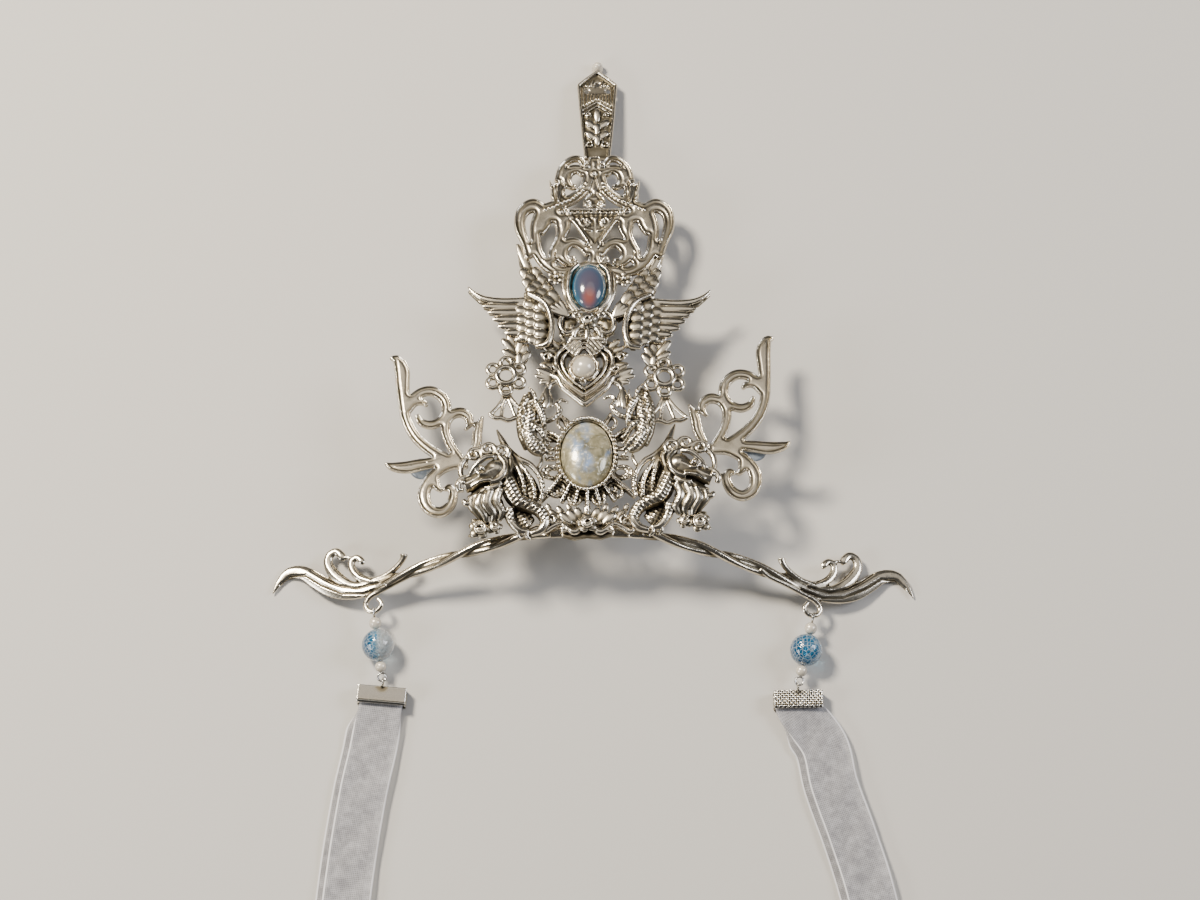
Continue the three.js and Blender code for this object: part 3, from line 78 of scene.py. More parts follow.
@dataclass
class Tree:
    """A material's node tree while it is being put together."""

    material: bpy.types.Material

    @classmethod
    def named(cls, name: str) -> "Tree":
        """Starts an empty material of this name."""
        material = bpy.data.materials.new(name)
        material.use_nodes = True
        material.node_tree.nodes.clear()
        return cls(material)

    def add(self, kind: str, sockets: dict | None = None, **settings: object) -> bpy.types.Node:
        """Adds a node.

        Args:
            kind: the node's Blender type.
            sockets: input socket to its value, or to the output socket that feeds it.
            settings: attributes of the node.

        Returns:
            The node.
        """
        made = self.material.node_tree.nodes.new(kind)
        for name, value in settings.items():
            setattr(made, name, value)
        for name, value in (sockets or {}).items():
            socket = made.inputs[name]
            if isinstance(value, bpy.types.NodeSocket):
                self.material.node_tree.links.new(value, socket)
            else:
                socket.default_value = value
        return made

    def ramp(self, factor: bpy.types.NodeSocket,
             stops: tuple[tuple[float, str], ...]) -> bpy.types.NodeSocket:
        """Adds a colour ramp.

        Args:
            factor: what the ramp reads.
            stops: place and hex colour of each stop.

        Returns:
            The ramp's colour.
        """
        made = self.add("ShaderNodeValToRGB", {"Fac": factor})
        elements = made.color_ramp.elements
        while len(elements) < len(stops):
            elements.new(0.5)
        for element, (place, code) in zip(elements, stops):
            element.position = place
            element.color = linear(code)
        return made.outputs["Color"]

    def place(self) -> bpy.types.NodeSocket:
        """Places on the object, in metres."""
        return self.add("ShaderNodeTexCoord").outputs["Object"]

    def oval(self, centre: Vector, half: tuple[float, float], lean: float) -> bpy.types.NodeSocket:
        """Places on an oval in plan, from -1 to 1 each way.

        Args:
            centre: the oval's middle, in metres.
            half: its half sizes, in millimetres.
            lean: how far its plane leans, in radians.

        Returns:
            The output socket with the places.
        """
        scale = (half[0] * MM, half[1] * MM, 1.0)
        sockets = {"Vector": self.place(), "Location": centre, "Rotation": (-lean, 0, 0),
                   "Scale": scale}
        return self.add("ShaderNodeMapping", sockets, vector_type="TEXTURE").outputs[0]

    def axis(self, vector: bpy.types.NodeSocket, name: str) -> bpy.types.NodeSocket:
        """One of a vector's three parts."""
        return self.add("ShaderNodeSeparateXYZ", {"Vector": vector}).outputs[name]

    def noise(self, place: bpy.types.NodeSocket, scale: float, detail: float,
              distortion: float = 0.0) -> bpy.types.NodeSocket:
        """Adds soft noise.

        Args:
            place: where it is read.
            scale: its clouds to each unit of length.
            detail: how many finer layers it has.
            distortion: how far its clouds are drawn out.

        Returns:
            The noise, from 0 to 1.
        """
        sockets = {"Vector": place, "Scale": scale, "Detail": detail, "Distortion": distortion}
        return self.add("ShaderNodeTexNoise", sockets).outputs["Fac"]

    def work(self, operation: str, *values: object) -> bpy.types.NodeSocket:
        """The result of an operation on one to three values."""
        return self.add("ShaderNodeMath", dict(enumerate(values)), operation=operation).outputs[0]

    def vector(self, operation: str, *values: object) -> bpy.types.Node:
        """Adds an operation on one or two vectors."""
        return self.add("ShaderNodeVectorMath", dict(enumerate(values)), operation=operation)

    def spread(self, value: bpy.types.NodeSocket, source: tuple[float, float],
               target: tuple[float, float], **settings: object) -> bpy.types.NodeSocket:
        """Carries a value over from one range to another, and no further.

        Args:
            value: what is read.
            source: its range.
            target: the range that it is carried to.
            settings: attributes of the node.

        Returns:
            The value carried over.
        """
        sockets = {"Value": value, "From Min": source[0], "From Max": source[1],
                   "To Min": target[0], "To Max": target[1]}
        return self.add("ShaderNodeMapRange", sockets, **settings).outputs[0]

    def mix(self, share: bpy.types.NodeSocket, base: bpy.types.NodeSocket,
            code: str) -> bpy.types.NodeSocket:
        """Covers a colour with a hex colour by this share."""
        sockets = {0: share, 6: base, 7: linear(code)}
        return self.add("ShaderNodeMix", sockets, data_type="RGBA").outputs[2]

    def bump(self, height: bpy.types.NodeSocket, strength: float,
             distance: float) -> bpy.types.NodeSocket:
        """The normal of a surface roughened by this height; the distance is in metres."""
        sockets = {"Height": height, "Strength": strength, "Distance": distance}
        return self.add("ShaderNodeBump", sockets).outputs["Normal"]

    def finish(self, sockets: dict) -> bpy.types.Material:
        """Adds the surface shader with these inputs and returns the material."""
        shader = self.add("ShaderNodeBsdfPrincipled", sockets).outputs["BSDF"]
        self.add("ShaderNodeOutputMaterial", {"Surface": shader})
        return self.material


# ---------------------------------------------------------------- finishes


@dataclass(frozen=True)
class AntiqueSilver:
    """Cast zinc alloy, plated bright silver and antiqued, so that patina darkens its recesses;
    painted shade also darkens what lies under taller parts.
    """

    name: str
    bright: str = "#f6eddc"
    body: str = "#d6ccb8"
    recess: str = "#2b2721"
    smooth: float = 0.17
    rough: float = 0.46
    grain: float = 0.06

    def build(self) -> bpy.types.Material:
        """Builds the material. It reads the piece's own "relief" attribute, which holds patina in
        recesses and painted shade under taller parts.
        """
        tree = Tree.named(self.name)
        relief = tree.add("ShaderNodeAttribute", attribute_name="relief").outputs["Fac"]
        place = tree.place()
        # Tarnish clouds of about 4 mm and casting grain of about 0.3 mm.
        cloud = tree.noise(place, 250.0, 3.0)
        grain = tree.noise(place, 3200.0, 2.0)
        depth = tree.work("ADD", relief, tree.work("MULTIPLY", cloud, 0.22))
        # The darkest stop is patina in the recesses and painted shade under taller parts.
        stops = ((0.3, self.recess), (0.5, "#79715f"), (0.64, self.body), (0.86, self.bright))
        return tree.finish({
            "Base Color": tree.ramp(depth, stops), "Metallic": 1.0,
            "Roughness": tree.spread(depth, (0.3, 0.8), (self.rough, self.smooth)),
            "Normal": tree.bump(grain, self.grain, 0.00005)})


@dataclass(frozen=True)
class OpalResin:
    """Cast opal-effect resin: a blue rim and a grey-mauve body, with painted light: an orange patch
    low down where light shines through, and a faint shine of its own.
    """

    name: str
    centre: Vector
    half: tuple[float, float]
    lean: float

    def build(self) -> bpy.types.Material:
        """Builds the material on the stone's own oval."""
        tree = Tree.named(self.name)
        oval = tree.oval(self.centre, self.half, self.lean)
        rim = tree.vector("LENGTH", oval).outputs["Value"]
        body = tree.ramp(rim, ((0.0, "#4f4957"), (0.5, "#48495b"), (0.8, "#3a5066"),
                               (0.97, "#2a617d")))
        low = tree.vector("SUBTRACT", oval, (0.0, -0.66, 0.0)).outputs[0]
        away = tree.vector("LENGTH", tree.vector("MULTIPLY", low, (1.3, 1.35, 0.0)).outputs[0])
        painted_glow = tree.spread(away.outputs["Value"], (0.9, 0.0), (0.0, 0.7),
                           interpolation_type="SMOOTHERSTEP")
        lower = tree.spread(tree.axis(oval, "Y"), (0.5, -0.4), (0.0, 1.0))
        # Painted light: the orange patch low down stands for light shining through the stone.
        colour = tree.mix(tree.work("MULTIPLY", painted_glow, lower), body, "#98503c")
        # Painted light: the emission makes the stone shine faintly, though it is no lamp.
        return tree.finish({
            "Base Color": colour, "Roughness": 0.16, "IOR": 1.45, "Coat Weight": 1.0,
            "Coat Roughness": 0.03, "Emission Color": colour, "Emission Strength": 0.05})


@dataclass(frozen=True)
class FlashStone:
    """A clear-domed moonstone-effect cabochon over crumpled foil: ivory, with blue-white flashes of
    painted sheen and white flecks of painted glint.
    """

    name: str
    centre: Vector
    half: tuple[float, float]
    lean: float

    def build(self) -> bpy.types.Material:
        """Builds the material on the stone's own oval."""
        tree = Tree.named(self.name)
        place = tree.place()
        oval = tree.oval(self.centre, self.half, self.lean)
        # Foil creases 3 to 5 mm apart, and painted glints of about 1 mm.
        cloud = tree.noise(place, 260.0, 5.0, 0.9)
        painted_glint = tree.noise(place, 1000.0, 3.0)
        body = tree.ramp(cloud, ((0.3, "#68644f"), (0.45, "#8d876b"), (0.6, "#b3ab8c"),
                                 (0.75, "#ded7bb")))
        # Painted sheen: blue-white flashes, strongest near the middle of the stone.
        aside = tree.work("ABSOLUTE", tree.work("ADD", tree.axis(oval, "X"), 0.15))
        near = tree.spread(aside, (0.7, 0.1), (0.0, 0.2))
        level = tree.work("ADD", tree.noise(oval, 1.9, 3.0, 0.6), near)
        with_painted_sheen = tree.mix(tree.spread(level, (0.6, 0.86), (0.0, 0.9)), body, "#86a5d2")
        # Painted glints: near-white flecks of the foil.
        colour = tree.mix(tree.spread(painted_glint, (0.58, 0.72), (0.0, 0.6)), with_painted_sheen, "#f7f2e0")
        return tree.finish({
            "Base Color": colour, "Metallic": 0.25, "Roughness": 0.26, "IOR": 1.5,
            "Coat Weight": 1.0, "Coat Roughness": 0.02, "Normal": tree.bump(cloud, 0.35, 0.0006)})


@dataclass(frozen=True)
class Pearl:
    """Glass pearl: a warm white coat, with painted sheen that turns it greyer and silvery towards
    its edges.
    """

    name: str
    warm: str = "#e0d7c6"
    painted_edge_sheen: str = "#aba69d"

    def build(self) -> bpy.types.Material:
        """Builds the material."""
        tree = Tree.named(self.name)
        # The dipped coat drifts over 2 to 3 mm.
        drift = tree.noise(tree.place(), 420.0, 2.0)
        # Painted sheen: the colour goes greyer where the surface turns away from the view.
        edge = tree.add("ShaderNodeLayerWeight", {"Blend": 0.35}).outputs["Facing"]
        colour = tree.ramp(tree.work("MULTIPLY", edge, drift), ((0.0, self.warm), (0.6, self.painted_edge_sheen)))
        return tree.finish({
            "Base Color": colour, "Metallic": 0.2, "Roughness": 0.27, "IOR": 1.55,
            "Coat Weight": 0.7,
            "Coat Roughness": 0.12})


@dataclass(frozen=True)
class CrackleGlass:
    """Crackle glass: a bead quenched until fine cracks fill it, part blue and part clear."""

    name: str
    centre: Vector
    radius: float
    fade: float
    start: float

    def build(self) -> bpy.types.Material:
        """Builds the material; the blue is at `start` in the middle and fades by `fade` across."""
        tree = Tree.named(self.name)
        size = self.radius * MM
        sockets = {"Vector": tree.place(), "Location": self.centre, "Scale": (size, size, size)}
        oval = tree.add("ShaderNodeMapping", sockets, vector_type="TEXTURE").outputs[0]
        drift = tree.work("MULTIPLY_ADD", tree.axis(oval, "X"), self.fade, self.start)
        cloudy = tree.work("MULTIPLY_ADD", tree.noise(oval, 2.2, 3.0, 1.0), 0.7, -0.35)
        tint = tree.ramp(tree.work("ADD", drift, cloudy), (
            (0.12, "#12608f"), (0.4, "#3b8fbd"), (0.6, "#9fbccb"), (0.8, "#cfd3d4")))
        # Cracks about 1.2 mm apart.
        crack = tree.add("ShaderNodeTexVoronoi", {"Vector": oval, "Scale": 3.8},
                         feature="DISTANCE_TO_EDGE").outputs["Distance"]
        colour = tree.mix(tree.spread(crack, (0.09, 0.02), (0.0, 0.75)), tint, "#e8f4fa")
        return tree.finish({
            "Base Color": colour, "Roughness": 0.08, "IOR": 1.5, "Transmission Weight": 0.55,
            "Coat Weight": 1.0, "Coat Roughness": 0.02, "Normal": tree.bump(crack, 0.5, 0.0004)})


@dataclass(frozen=True)
class ClearGlue:
    """A cured clear glue pad: cloudy, faintly blue and glossy."""

    name: str

    def build(self) -> bpy.types.Material:
        """Builds the material."""
        tree = Tree.named(self.name)
        cloud = tree.noise(tree.place(), 350.0, 3.0)
        return tree.finish({
            "Base Color": tree.ramp(cloud, ((0.35, "#8e9db0"), (0.65, "#c2ccd6"))),
            "Roughness": 0.18, "IOR": 1.47, "Transmission Weight": 0.5})


@dataclass(frozen=True)
class Organza:
    """Plain-woven sheer organza ribbon with denser woven edges."""

    name: str
    width: float = 13.4
    cloth: str = "#b4b3b6"
    edge: str = "#e4e3e6"

    def threads(self, tree: Tree, across: bpy.types.NodeSocket, scale: float, distortion: float,
                direction: str) -> bpy.types.NodeSocket:
        """Adds one set of threads.

        Args:
            tree: the tree to add to.
            across: places on the ribbon, in millimetres.
            scale: how close the threads lie.
            distortion: how unevenly they lie.
            direction: the axis that they are counted along.

        Returns:
            How much of a thread is at each place, from 0 to 1.
        """
        sockets = {"Vector": across, "Scale": scale, "Distortion": distortion,
                   "Detail": 1.0, "Detail Scale": 2.0}
        return tree.add("ShaderNodeTexWave", sockets, wave_type="BANDS",
                        bands_direction=direction).outputs["Fac"]

    def build(self) -> bpy.types.Material:
        """Builds the material on the piece's UV map, which is in millimetres across and along."""
        tree = Tree.named(self.name)
        across = tree.add("ShaderNodeUVMap", uv_map="cut").outputs["UV"]
        # Real threads lie 0.2 mm apart; they are drawn 0.55 mm apart so that they show.
        weft = self.threads(tree, across, 0.58, 0.6, "Y")
        warp = self.threads(tree, across, 0.62, 0.5, "X")
        weave = tree.work("MAXIMUM", weft, warp)
        sheen = tree.add("ShaderNodeTexNoise", {"Vector": across, "Scale": 0.35, "Detail": 4.0,
                                                "Roughness": 0.7}).outputs["Fac"]
        half = self.width / 2
        middle = tree.work("ABSOLUTE", tree.axis(across, "X"))
        selvedge = tree.spread(middle, (half - 0.6, half - 0.35), (0.0, 1.0))
        cloth = tree.ramp(sheen, ((0.3, "#98979c"), (0.5, self.cloth), (0.7, "#cfced2")))
        sheer = tree.spread(weave, (0.2, 1.0), (0.3, 0.66))
        return tree.finish({
            "Base Color": tree.mix(selvedge, cloth, self.edge), "Roughness": 0.5,
            "Alpha": tree.work("MAXIMUM", sheer, selvedge), "Sheen Weight": 0.5,
            "Sheen Roughness": 0.3, "Normal": tree.bump(weave, 0.3, 0.0001)})


@dataclass(frozen=True)
class StudioFloor:
    """Smooth matt painted board."""

    name: str = "studio_floor"
    colour: str = "#cfccc6"

    def build(self) -> bpy.types.Material:
        """Builds the material."""
        return Tree.named(self.name).finish({"Base Color": linear(self.colour), "Roughness": 0.85})


# ---------------------------------------------------------------- the plate's places


@dataclass(frozen=True)
class Plate:
    """The leaning plane that carries the castings, found from where the finial's bead is.

    The bead's middle is at `bead` on the plate and at `bead_height` over the surface, and the
    plate's foot is at `foot_place` along it.
    """

    lean: float = math.radians(7.3)
    bead: Row = (2.2, 153.2, 0.6)
    bead_height: float = 1.8
    foot_place: float = -7.37

    def matrix(self) -> Matrix:
        """From plate places in millimetres to the frame in metres."""
        low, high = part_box("finial_bead")
        turn = Matrix.Rotation(-self.lean, 4, "X") @ Matrix.Scale(MM, 4)
        origin = (low + high) / 2 - turn @ Vector(self.bead)
        return Matrix.Translation(origin) @ turn

    def surface(self) -> Matrix:
        """From places in millimetres over the surface, with the plate's foot at its own place."""
        rise = (self.bead_height + self.bead[1] * math.sin(self.lean)
                - self.bead[2] * math.cos(self.lean))
        foot = Vector((0, self.foot_place, rise)) * MM
        return Matrix.Translation(self.matrix().to_translation() - foot) @ Matrix.Scale(MM, 4)


@dataclass(frozen=True)
class Seat:
    """How a casting is set on the plate: its hand, its slide up it and a turn about a pivot."""

    sign: int = 1
    slide: float = 0.0
    pivot: tuple[float, float] = (0.0, 0.0)
    move: tuple[float, float] = (0.0, 0.0)
    turn: float = 0.0

    def matrix(self) -> Matrix:
        """From the table's places to plate places."""
        pivot = Vector((*self.pivot, 0))
        turn = Matrix.Translation(pivot) @ Matrix.Rotation(math.radians(self.turn), 4, "Z")
        turn = turn @ Matrix.Translation(-pivot)
        shift = Matrix.Translation((self.move[0], self.move[1] + self.slide, 0))
        return shift @ turn @ Matrix.Diagonal((self.sign, 1, 1, 1))


class Layer(Enum):
    """The castings' three layers, each with how far its own slide up the plate is."""

    BACK = 0.0
    MIDDLE = -0.6
    FRONT = -1.2

    @property
    def seat(self) -> Seat:
        """The seat of a casting whose table already gives its place."""
        return Seat(slide=self.value)


# How the right-hand castings sit, set by hand and so not quite mirrored.
RIGHT_SEAT = {
    "upper_wing": {"pivot": (7, 69), "move": (0.4, -0.3)},
    "mid_wing": {"pivot": (12, 64), "move": (-0.7, -0.2), "turn": -2},
    "leaf_sprig": {"pivot": (20, 53), "move": (-2, -0.6)},
    "small_dragon": {"pivot": (14, 30), "move": (-2.1, 1.2)},
    "winged_horse": {"pivot": (25, 8), "move": (-0.4, 1.8), "turn": 4},
    "horse_rose": {"pivot": (25, 8), "move": (-0.4, 1.8), "turn": 4},
    "side_scroll": {"pivot": (35.5, 21.5), "move": (-0.75, 4.4), "turn": 6},
}
PAIR_LAYERS = {
    "upper_wing": Layer.BACK, "mid_wing": Layer.MIDDLE, "leaf_sprig": Layer.BACK,
    "small_dragon": Layer.MIDDLE,
    "winged_horse": Layer.MIDDLE, "horse_rose": Layer.MIDDLE, "side_scroll": Layer.BACK,
}


class Side(Enum):
    """The wearer's two sides, as they lie."""

    LEFT = "left"
    RIGHT = "right"

    def seat(self, name: str, layer: Layer) -> Seat:
        """The seat of this side's casting of a pair."""
        if self is Side.LEFT:
            return Seat(-1, layer.value)
        return Seat(1, layer.value, **RIGHT_SEAT[name])

    def placed(self, left: tuple[float, float], right: tuple[float, float], layer: Layer) -> Seat:
        """A seat at a place of its own, given for each side."""
        x, v = left if self is Side.LEFT else right
        return Seat(1, layer.value, move=(x, v))


# ---------------------------------------------------------------- relief on a casting


def away_from_line(x: np.ndarray, v: np.ndarray, points: Rows) -> tuple[np.ndarray, np.ndarray]:
    """How far places lie from a line of points.

    Args:
        x: places across.
        v: places up.
        points: the line's points, each with at least x and v.

    Returns:
        The distance, and the length along the line at the nearest point.
    """
    best = np.full(x.shape, 1e9)
    along = np.zeros(x.shape)
    walked = 0.0
    for (ax, av), (bx, bv) in zip([p[:2] for p in points], [p[:2] for p in points[1:]]):
        dx, dv = bx - ax, bv - av
        length = math.hypot(dx, dv)
        t = np.clip(((x - ax) * dx + (v - av) * dv) / length**2, 0, 1)
        away = np.hypot(x - ax - t * dx, v - av - t * dv)
        closer = away < best
        best = np.where(closer, away, best)
        along = np.where(closer, walked + t * length, along)
        walked += length
    return best, along


def hump(away: np.ndarray, half: float) -> np.ndarray:
    """A round ridge: 1 in the middle, 0 at `half` away."""
    return np.clip(1 - (away / half) ** 2, 0, 1)


@dataclass(frozen=True)
class Rims:
    """Raised lines along a casting's outline: each ring is (distance in, half width, height)."""

    rings: Rows
    edge: float = 0.35
    drop: float = 0.3

    def height(self, away: np.ndarray) -> np.ndarray:
        """Height over the face at `away` from the outline, with a rounded edge."""
        rise = -self.drop * np.clip(1 - away / self.edge, 0, 1) ** 2
        for centre, half, height in self.rings:
            rise = rise + height * hump(away - centre, half)
        return rise


@dataclass(frozen=True)
class Ridge:
    """A raised line, or a groove where its height is negative."""

    points: Rows
    half: float
    height: float

    def rise(self, x: np.ndarray, v: np.ndarray) -> np.ndarray:
        """Height added at places x, v."""
        away, _ = away_from_line(x, v, self.points)
        return self.height * hump(away, self.half)


@dataclass(frozen=True)
class Beading:
    """A row of round grains along a line."""

    points: Rows
    pitch: float
    radius: float
    height: float

    def rise(self, x: np.ndarray, v: np.ndarray) -> np.ndarray:
        """Height added at places x, v."""
        away, along = away_from_line(x, v, self.points)
        off = (along / self.pitch) % 1.0 - 0.5
        return self.height * hump(np.hypot(away, off * self.pitch), self.radius)


@dataclass(frozen=True)
class Pebbles:
    """Scaly hide: close round grains inside a circle, or all over where the radius is large."""

    x: float
    v: float
    radius: float
    pitch: float
    height: float

    def rise(self, x: np.ndarray, v: np.ndarray) -> np.ndarray:
        """Height added at places x, v."""
        k = 2 * math.pi / self.pitch
        wave = np.cos(k * x) * np.cos(k * 0.577 * v) + np.cos(k * 0.5 * x + k * 0.866 * v)
        inside = np.clip((self.radius - np.hypot(x - self.x, v - self.v)) / 0.8, 0, 1)
        return self.height * 0.5 * wave * inside


@dataclass(frozen=True)
class Knurl:
    """Crossed diagonal grooves that leave small diamonds."""

    pitch: float
    height: float

    def rise(self, x: np.ndarray, v: np.ndarray) -> np.ndarray:
        """Height added at places x, v."""
        k = math.pi / self.pitch
        return self.height * (np.abs(np.sin(k * (x + v)) * np.sin(k * (x - v))) - 0.5)


Feature = Ridge | Beading | Pebbles | Knurl


@dataclass(frozen=True)
class Strand:
    """A tapering strand of metal: each point is (x, v, height over the plate, half width)."""

    points: Rows
    flat: float = 1.0


@dataclass(frozen=True)
class Knob:
    """A round lump: x, v, height over the plate and radius, stretched across, up and in height."""

    x: float
    v: float
    height: float
    radius: float
    stretch: tuple[float, float, float] = (1.0, 1.0, 1.0)


# ---------------------------------------------------------------- mesh helpers


def deselect() -> None:
    """Leaves object mode with nothing selected."""
    if bpy.context.object and bpy.context.object.mode != "OBJECT":
        bpy.ops.object.mode_set(mode="OBJECT")
    bpy.ops.object.select_all(action="DESELECT")


def take(piece: bpy.types.Object) -> bpy.types.Object:
    """Makes a piece the only selected and active one."""
    deselect()
    piece.select_set(True)
    bpy.context.view_layer.objects.active = piece
    return piece


def join(name: str, parts: list[bpy.types.Object]) -> bpy.types.Object:
    """Joins parts into one piece of this name."""
    take(parts[0])
    for part in parts:
        part.select_set(True)
    if len(parts) > 1:
        bpy.ops.object.join()
    piece = bpy.context.object
    piece.name = name
    piece.data.name = name
    return piece


def settle(piece: bpy.types.Object) -> bpy.types.Object:
    """Puts a piece's place in its mesh and its object at the origin."""
    take(piece)
    bpy.ops.object.transform_apply(location=True, rotation=True, scale=True)
    return piece


def modify(piece: bpy.types.Object, kind: str, **settings: object) -> bpy.types.Object:
    """Adds a modifier with these settings and applies it."""
    take(piece)
    made = piece.modifiers.new(kind.lower(), kind)
    for name, value in settings.items():
        setattr(made, name, value)
    bpy.ops.object.modifier_apply(modifier=made.name)
    return piece


def copy_solid(node: str, name: str) -> bpy.types.Object:
    """Copies a solid of the frame, with its loose triangles merged."""
    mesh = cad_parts[node].data.copy()
    mesh.materials.clear()
    piece = bpy.data.objects.new(name, mesh)
    bpy.context.scene.collection.objects.link(piece)
    take(piece)
    bpy.ops.object.mode_set(mode="EDIT")
    bpy.ops.mesh.select_all(action="SELECT")
    bpy.ops.mesh.remove_doubles(threshold=1e-6)
    bpy.ops.object.mode_set(mode="OBJECT")
    return piece


def places(mesh: bpy.types.Mesh) -> np.ndarray:
    """The mesh's vertex places."""
    flat = np.empty(len(mesh.vertices) * 3, np.float32)
    mesh.vertices.foreach_get("co", flat)
    return flat.reshape(-1, 3).astype(float)


def put_places(mesh: bpy.types.Mesh, co: np.ndarray) -> None:
    """Moves the mesh's vertices."""
    mesh.vertices.foreach_set("co", co.astype(np.float32).ravel())
    mesh.update()


def normals(mesh: bpy.types.Mesh) -> np.ndarray:
    """The mesh's vertex normals."""
    flat = np.empty(len(mesh.vertices) * 3, np.float32)
    mesh.vertices.foreach_get("normal", flat)
    return flat.reshape(-1, 3).astype(float)


def moved(co: np.ndarray, matrix: Matrix) -> np.ndarray:
    """Places put through a matrix."""
    rows = np.array(matrix)
    return co @ rows[:3, :3].T + rows[:3, 3]


@dataclass
class Web:
    """The edges of a mesh, for smoothing places or values over it."""

    ends: np.ndarray
    count: int

    @classmethod
    def of(cls, mesh: bpy.types.Mesh) -> "Web":
        """Reads the edges."""
        flat = np.empty(len(mesh.edges) * 2, np.int32)
        mesh.edges.foreach_get("vertices", flat)
        return cls(flat.reshape(-1, 2), len(mesh.vertices))

    def smooth(self, values: np.ndarray, times: int, share: float = 0.5) -> np.ndarray:
        """Moves each value part of the way to its neighbours' mean, several times."""
        a, b = self.ends.T
        degree = np.bincount(a, minlength=self.count) + np.bincount(b, minlength=self.count)
        degree = np.maximum(degree, 1)
        for _ in range(times):
            sums = [np.bincount(a, column[b], self.count) + np.bincount(b, column[a], self.count)
                    for column in values.T]
            mean = np.stack([total / degree for total in sums], axis=1)
            values = values + share * (mean - values)
        return values

    def melt(self, values: np.ndarray, times: int) -> np.ndarray:
        """Smooths small corners away without shrinking what is larger than them."""
        for _ in range(times):
            values = self.smooth(self.smooth(values, 1, 0.5), 1, -0.53)
        return values


def shade_depth(co: np.ndarray, cell: float = 0.45, rings: int = 3) -> np.ndarray:
    """How far each place lies under the highest one within about 1.4 mm of it; this sets the
    painted shade.

    Args:
        co: places, with height last.
        cell: size of the squares that are compared.
        rings: how many squares away to look.

    Returns:
        The depths.
    """
    low = co[:, :2].min(0)
    across, up = ((co[:, :2] - low) / cell).astype(int).T + rings
    grid = np.full((across.max() + rings + 1, up.max() + rings + 1), -99.0)
    np.maximum.at(grid, (across, up), co[:, 2])
    top = np.full(len(co), -99.0)
    for i in range(-rings, rings + 1):
        for j in range(-rings, rings + 1):
            if math.hypot(i, j) <= rings + 0.3:
                top = np.maximum(top, grid[across + i, up + j])
    return top - co[:, 2]


# The relief of a plain face, how much the deepest painted shade takes off it, and how deep that
# lies in millimetres.
PLAIN, SHADE, SHADE_DEPTH = 0.56, 0.34, 2.2


def mark_patina_and_shade(mesh: bpy.types.Mesh, web: Web, co: np.ndarray, reach: float) -> None:
    """Writes the "relief" attribute: near 0 in a recess, PLAIN on a plain face and 1 on a ridge.
    Recesses stand for patina, and places under taller parts nearby are lowered as painted shade.

    Args:
        mesh: the mesh.
        web: its edges.
        co: its vertex places.
        reach: the depth, in the units of `co`, that counts as fully deep.
    """
    near = web.smooth(co, 4)
    wide = web.smooth(near, 14)
    facing = normals(mesh)
    rise = ((co - near) * facing).sum(1) * 2 + ((co - wide) * facing).sum(1)
    # Painted shade: places lying under taller parts nearby are darkened.
    shade = SHADE * np.clip(shade_depth(co) / SHADE_DEPTH, 0, 1)
    value = np.clip(PLAIN + rise / reach - shade, 0, 1)
    value = web.smooth(value[:, None], 1)[:, 0]
    made = mesh.attributes.new("relief", "FLOAT", "POINT")
    made.data.foreach_set("value", value.astype(np.float32))


def dress(piece: bpy.types.Object, material: bpy.types.Material, slot: str,
          *nodes: str) -> bpy.types.Object:
    """Gives a finished piece its material and body, smooths its shading and hides the nodes that it
    stands for.

    Args:
        piece: the finished piece.
        material: its material.
        slot: a material slot name; not used.
        nodes: the nodes it replaces.

    Returns:
        The piece.
    """
    piece.data.materials.clear()
    piece.data.materials.append(material)
    take(piece)
    bpy.ops.object.shade_smooth()
    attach(piece, "root")
    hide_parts(*nodes)
    LOG.info("%s: %d faces", piece.name, len(piece.data.polygons))
    return piece


# ---------------------------------------------------------------- castings


# The share of a casting's faces that is kept once its relief is in them, the half width of the
# thinnest wire, and the parts that each span of a strand is cut in.
KEPT_FACES = 0.48
THINNEST = 0.12
SPAN_PARTS = 5
# Relief starts where the upward part of a face's normal is FACES_FROM, and is whole FACES_OVER
# later. Faces under WALLS_UNDER are walls, and rims are measured from them.
FACES_FROM, FACES_OVER, WALLS_UNDER = 0.25, 0.4, 0.3
# The depth in millimetres that counts as a full recess.
RECESS = 1.1


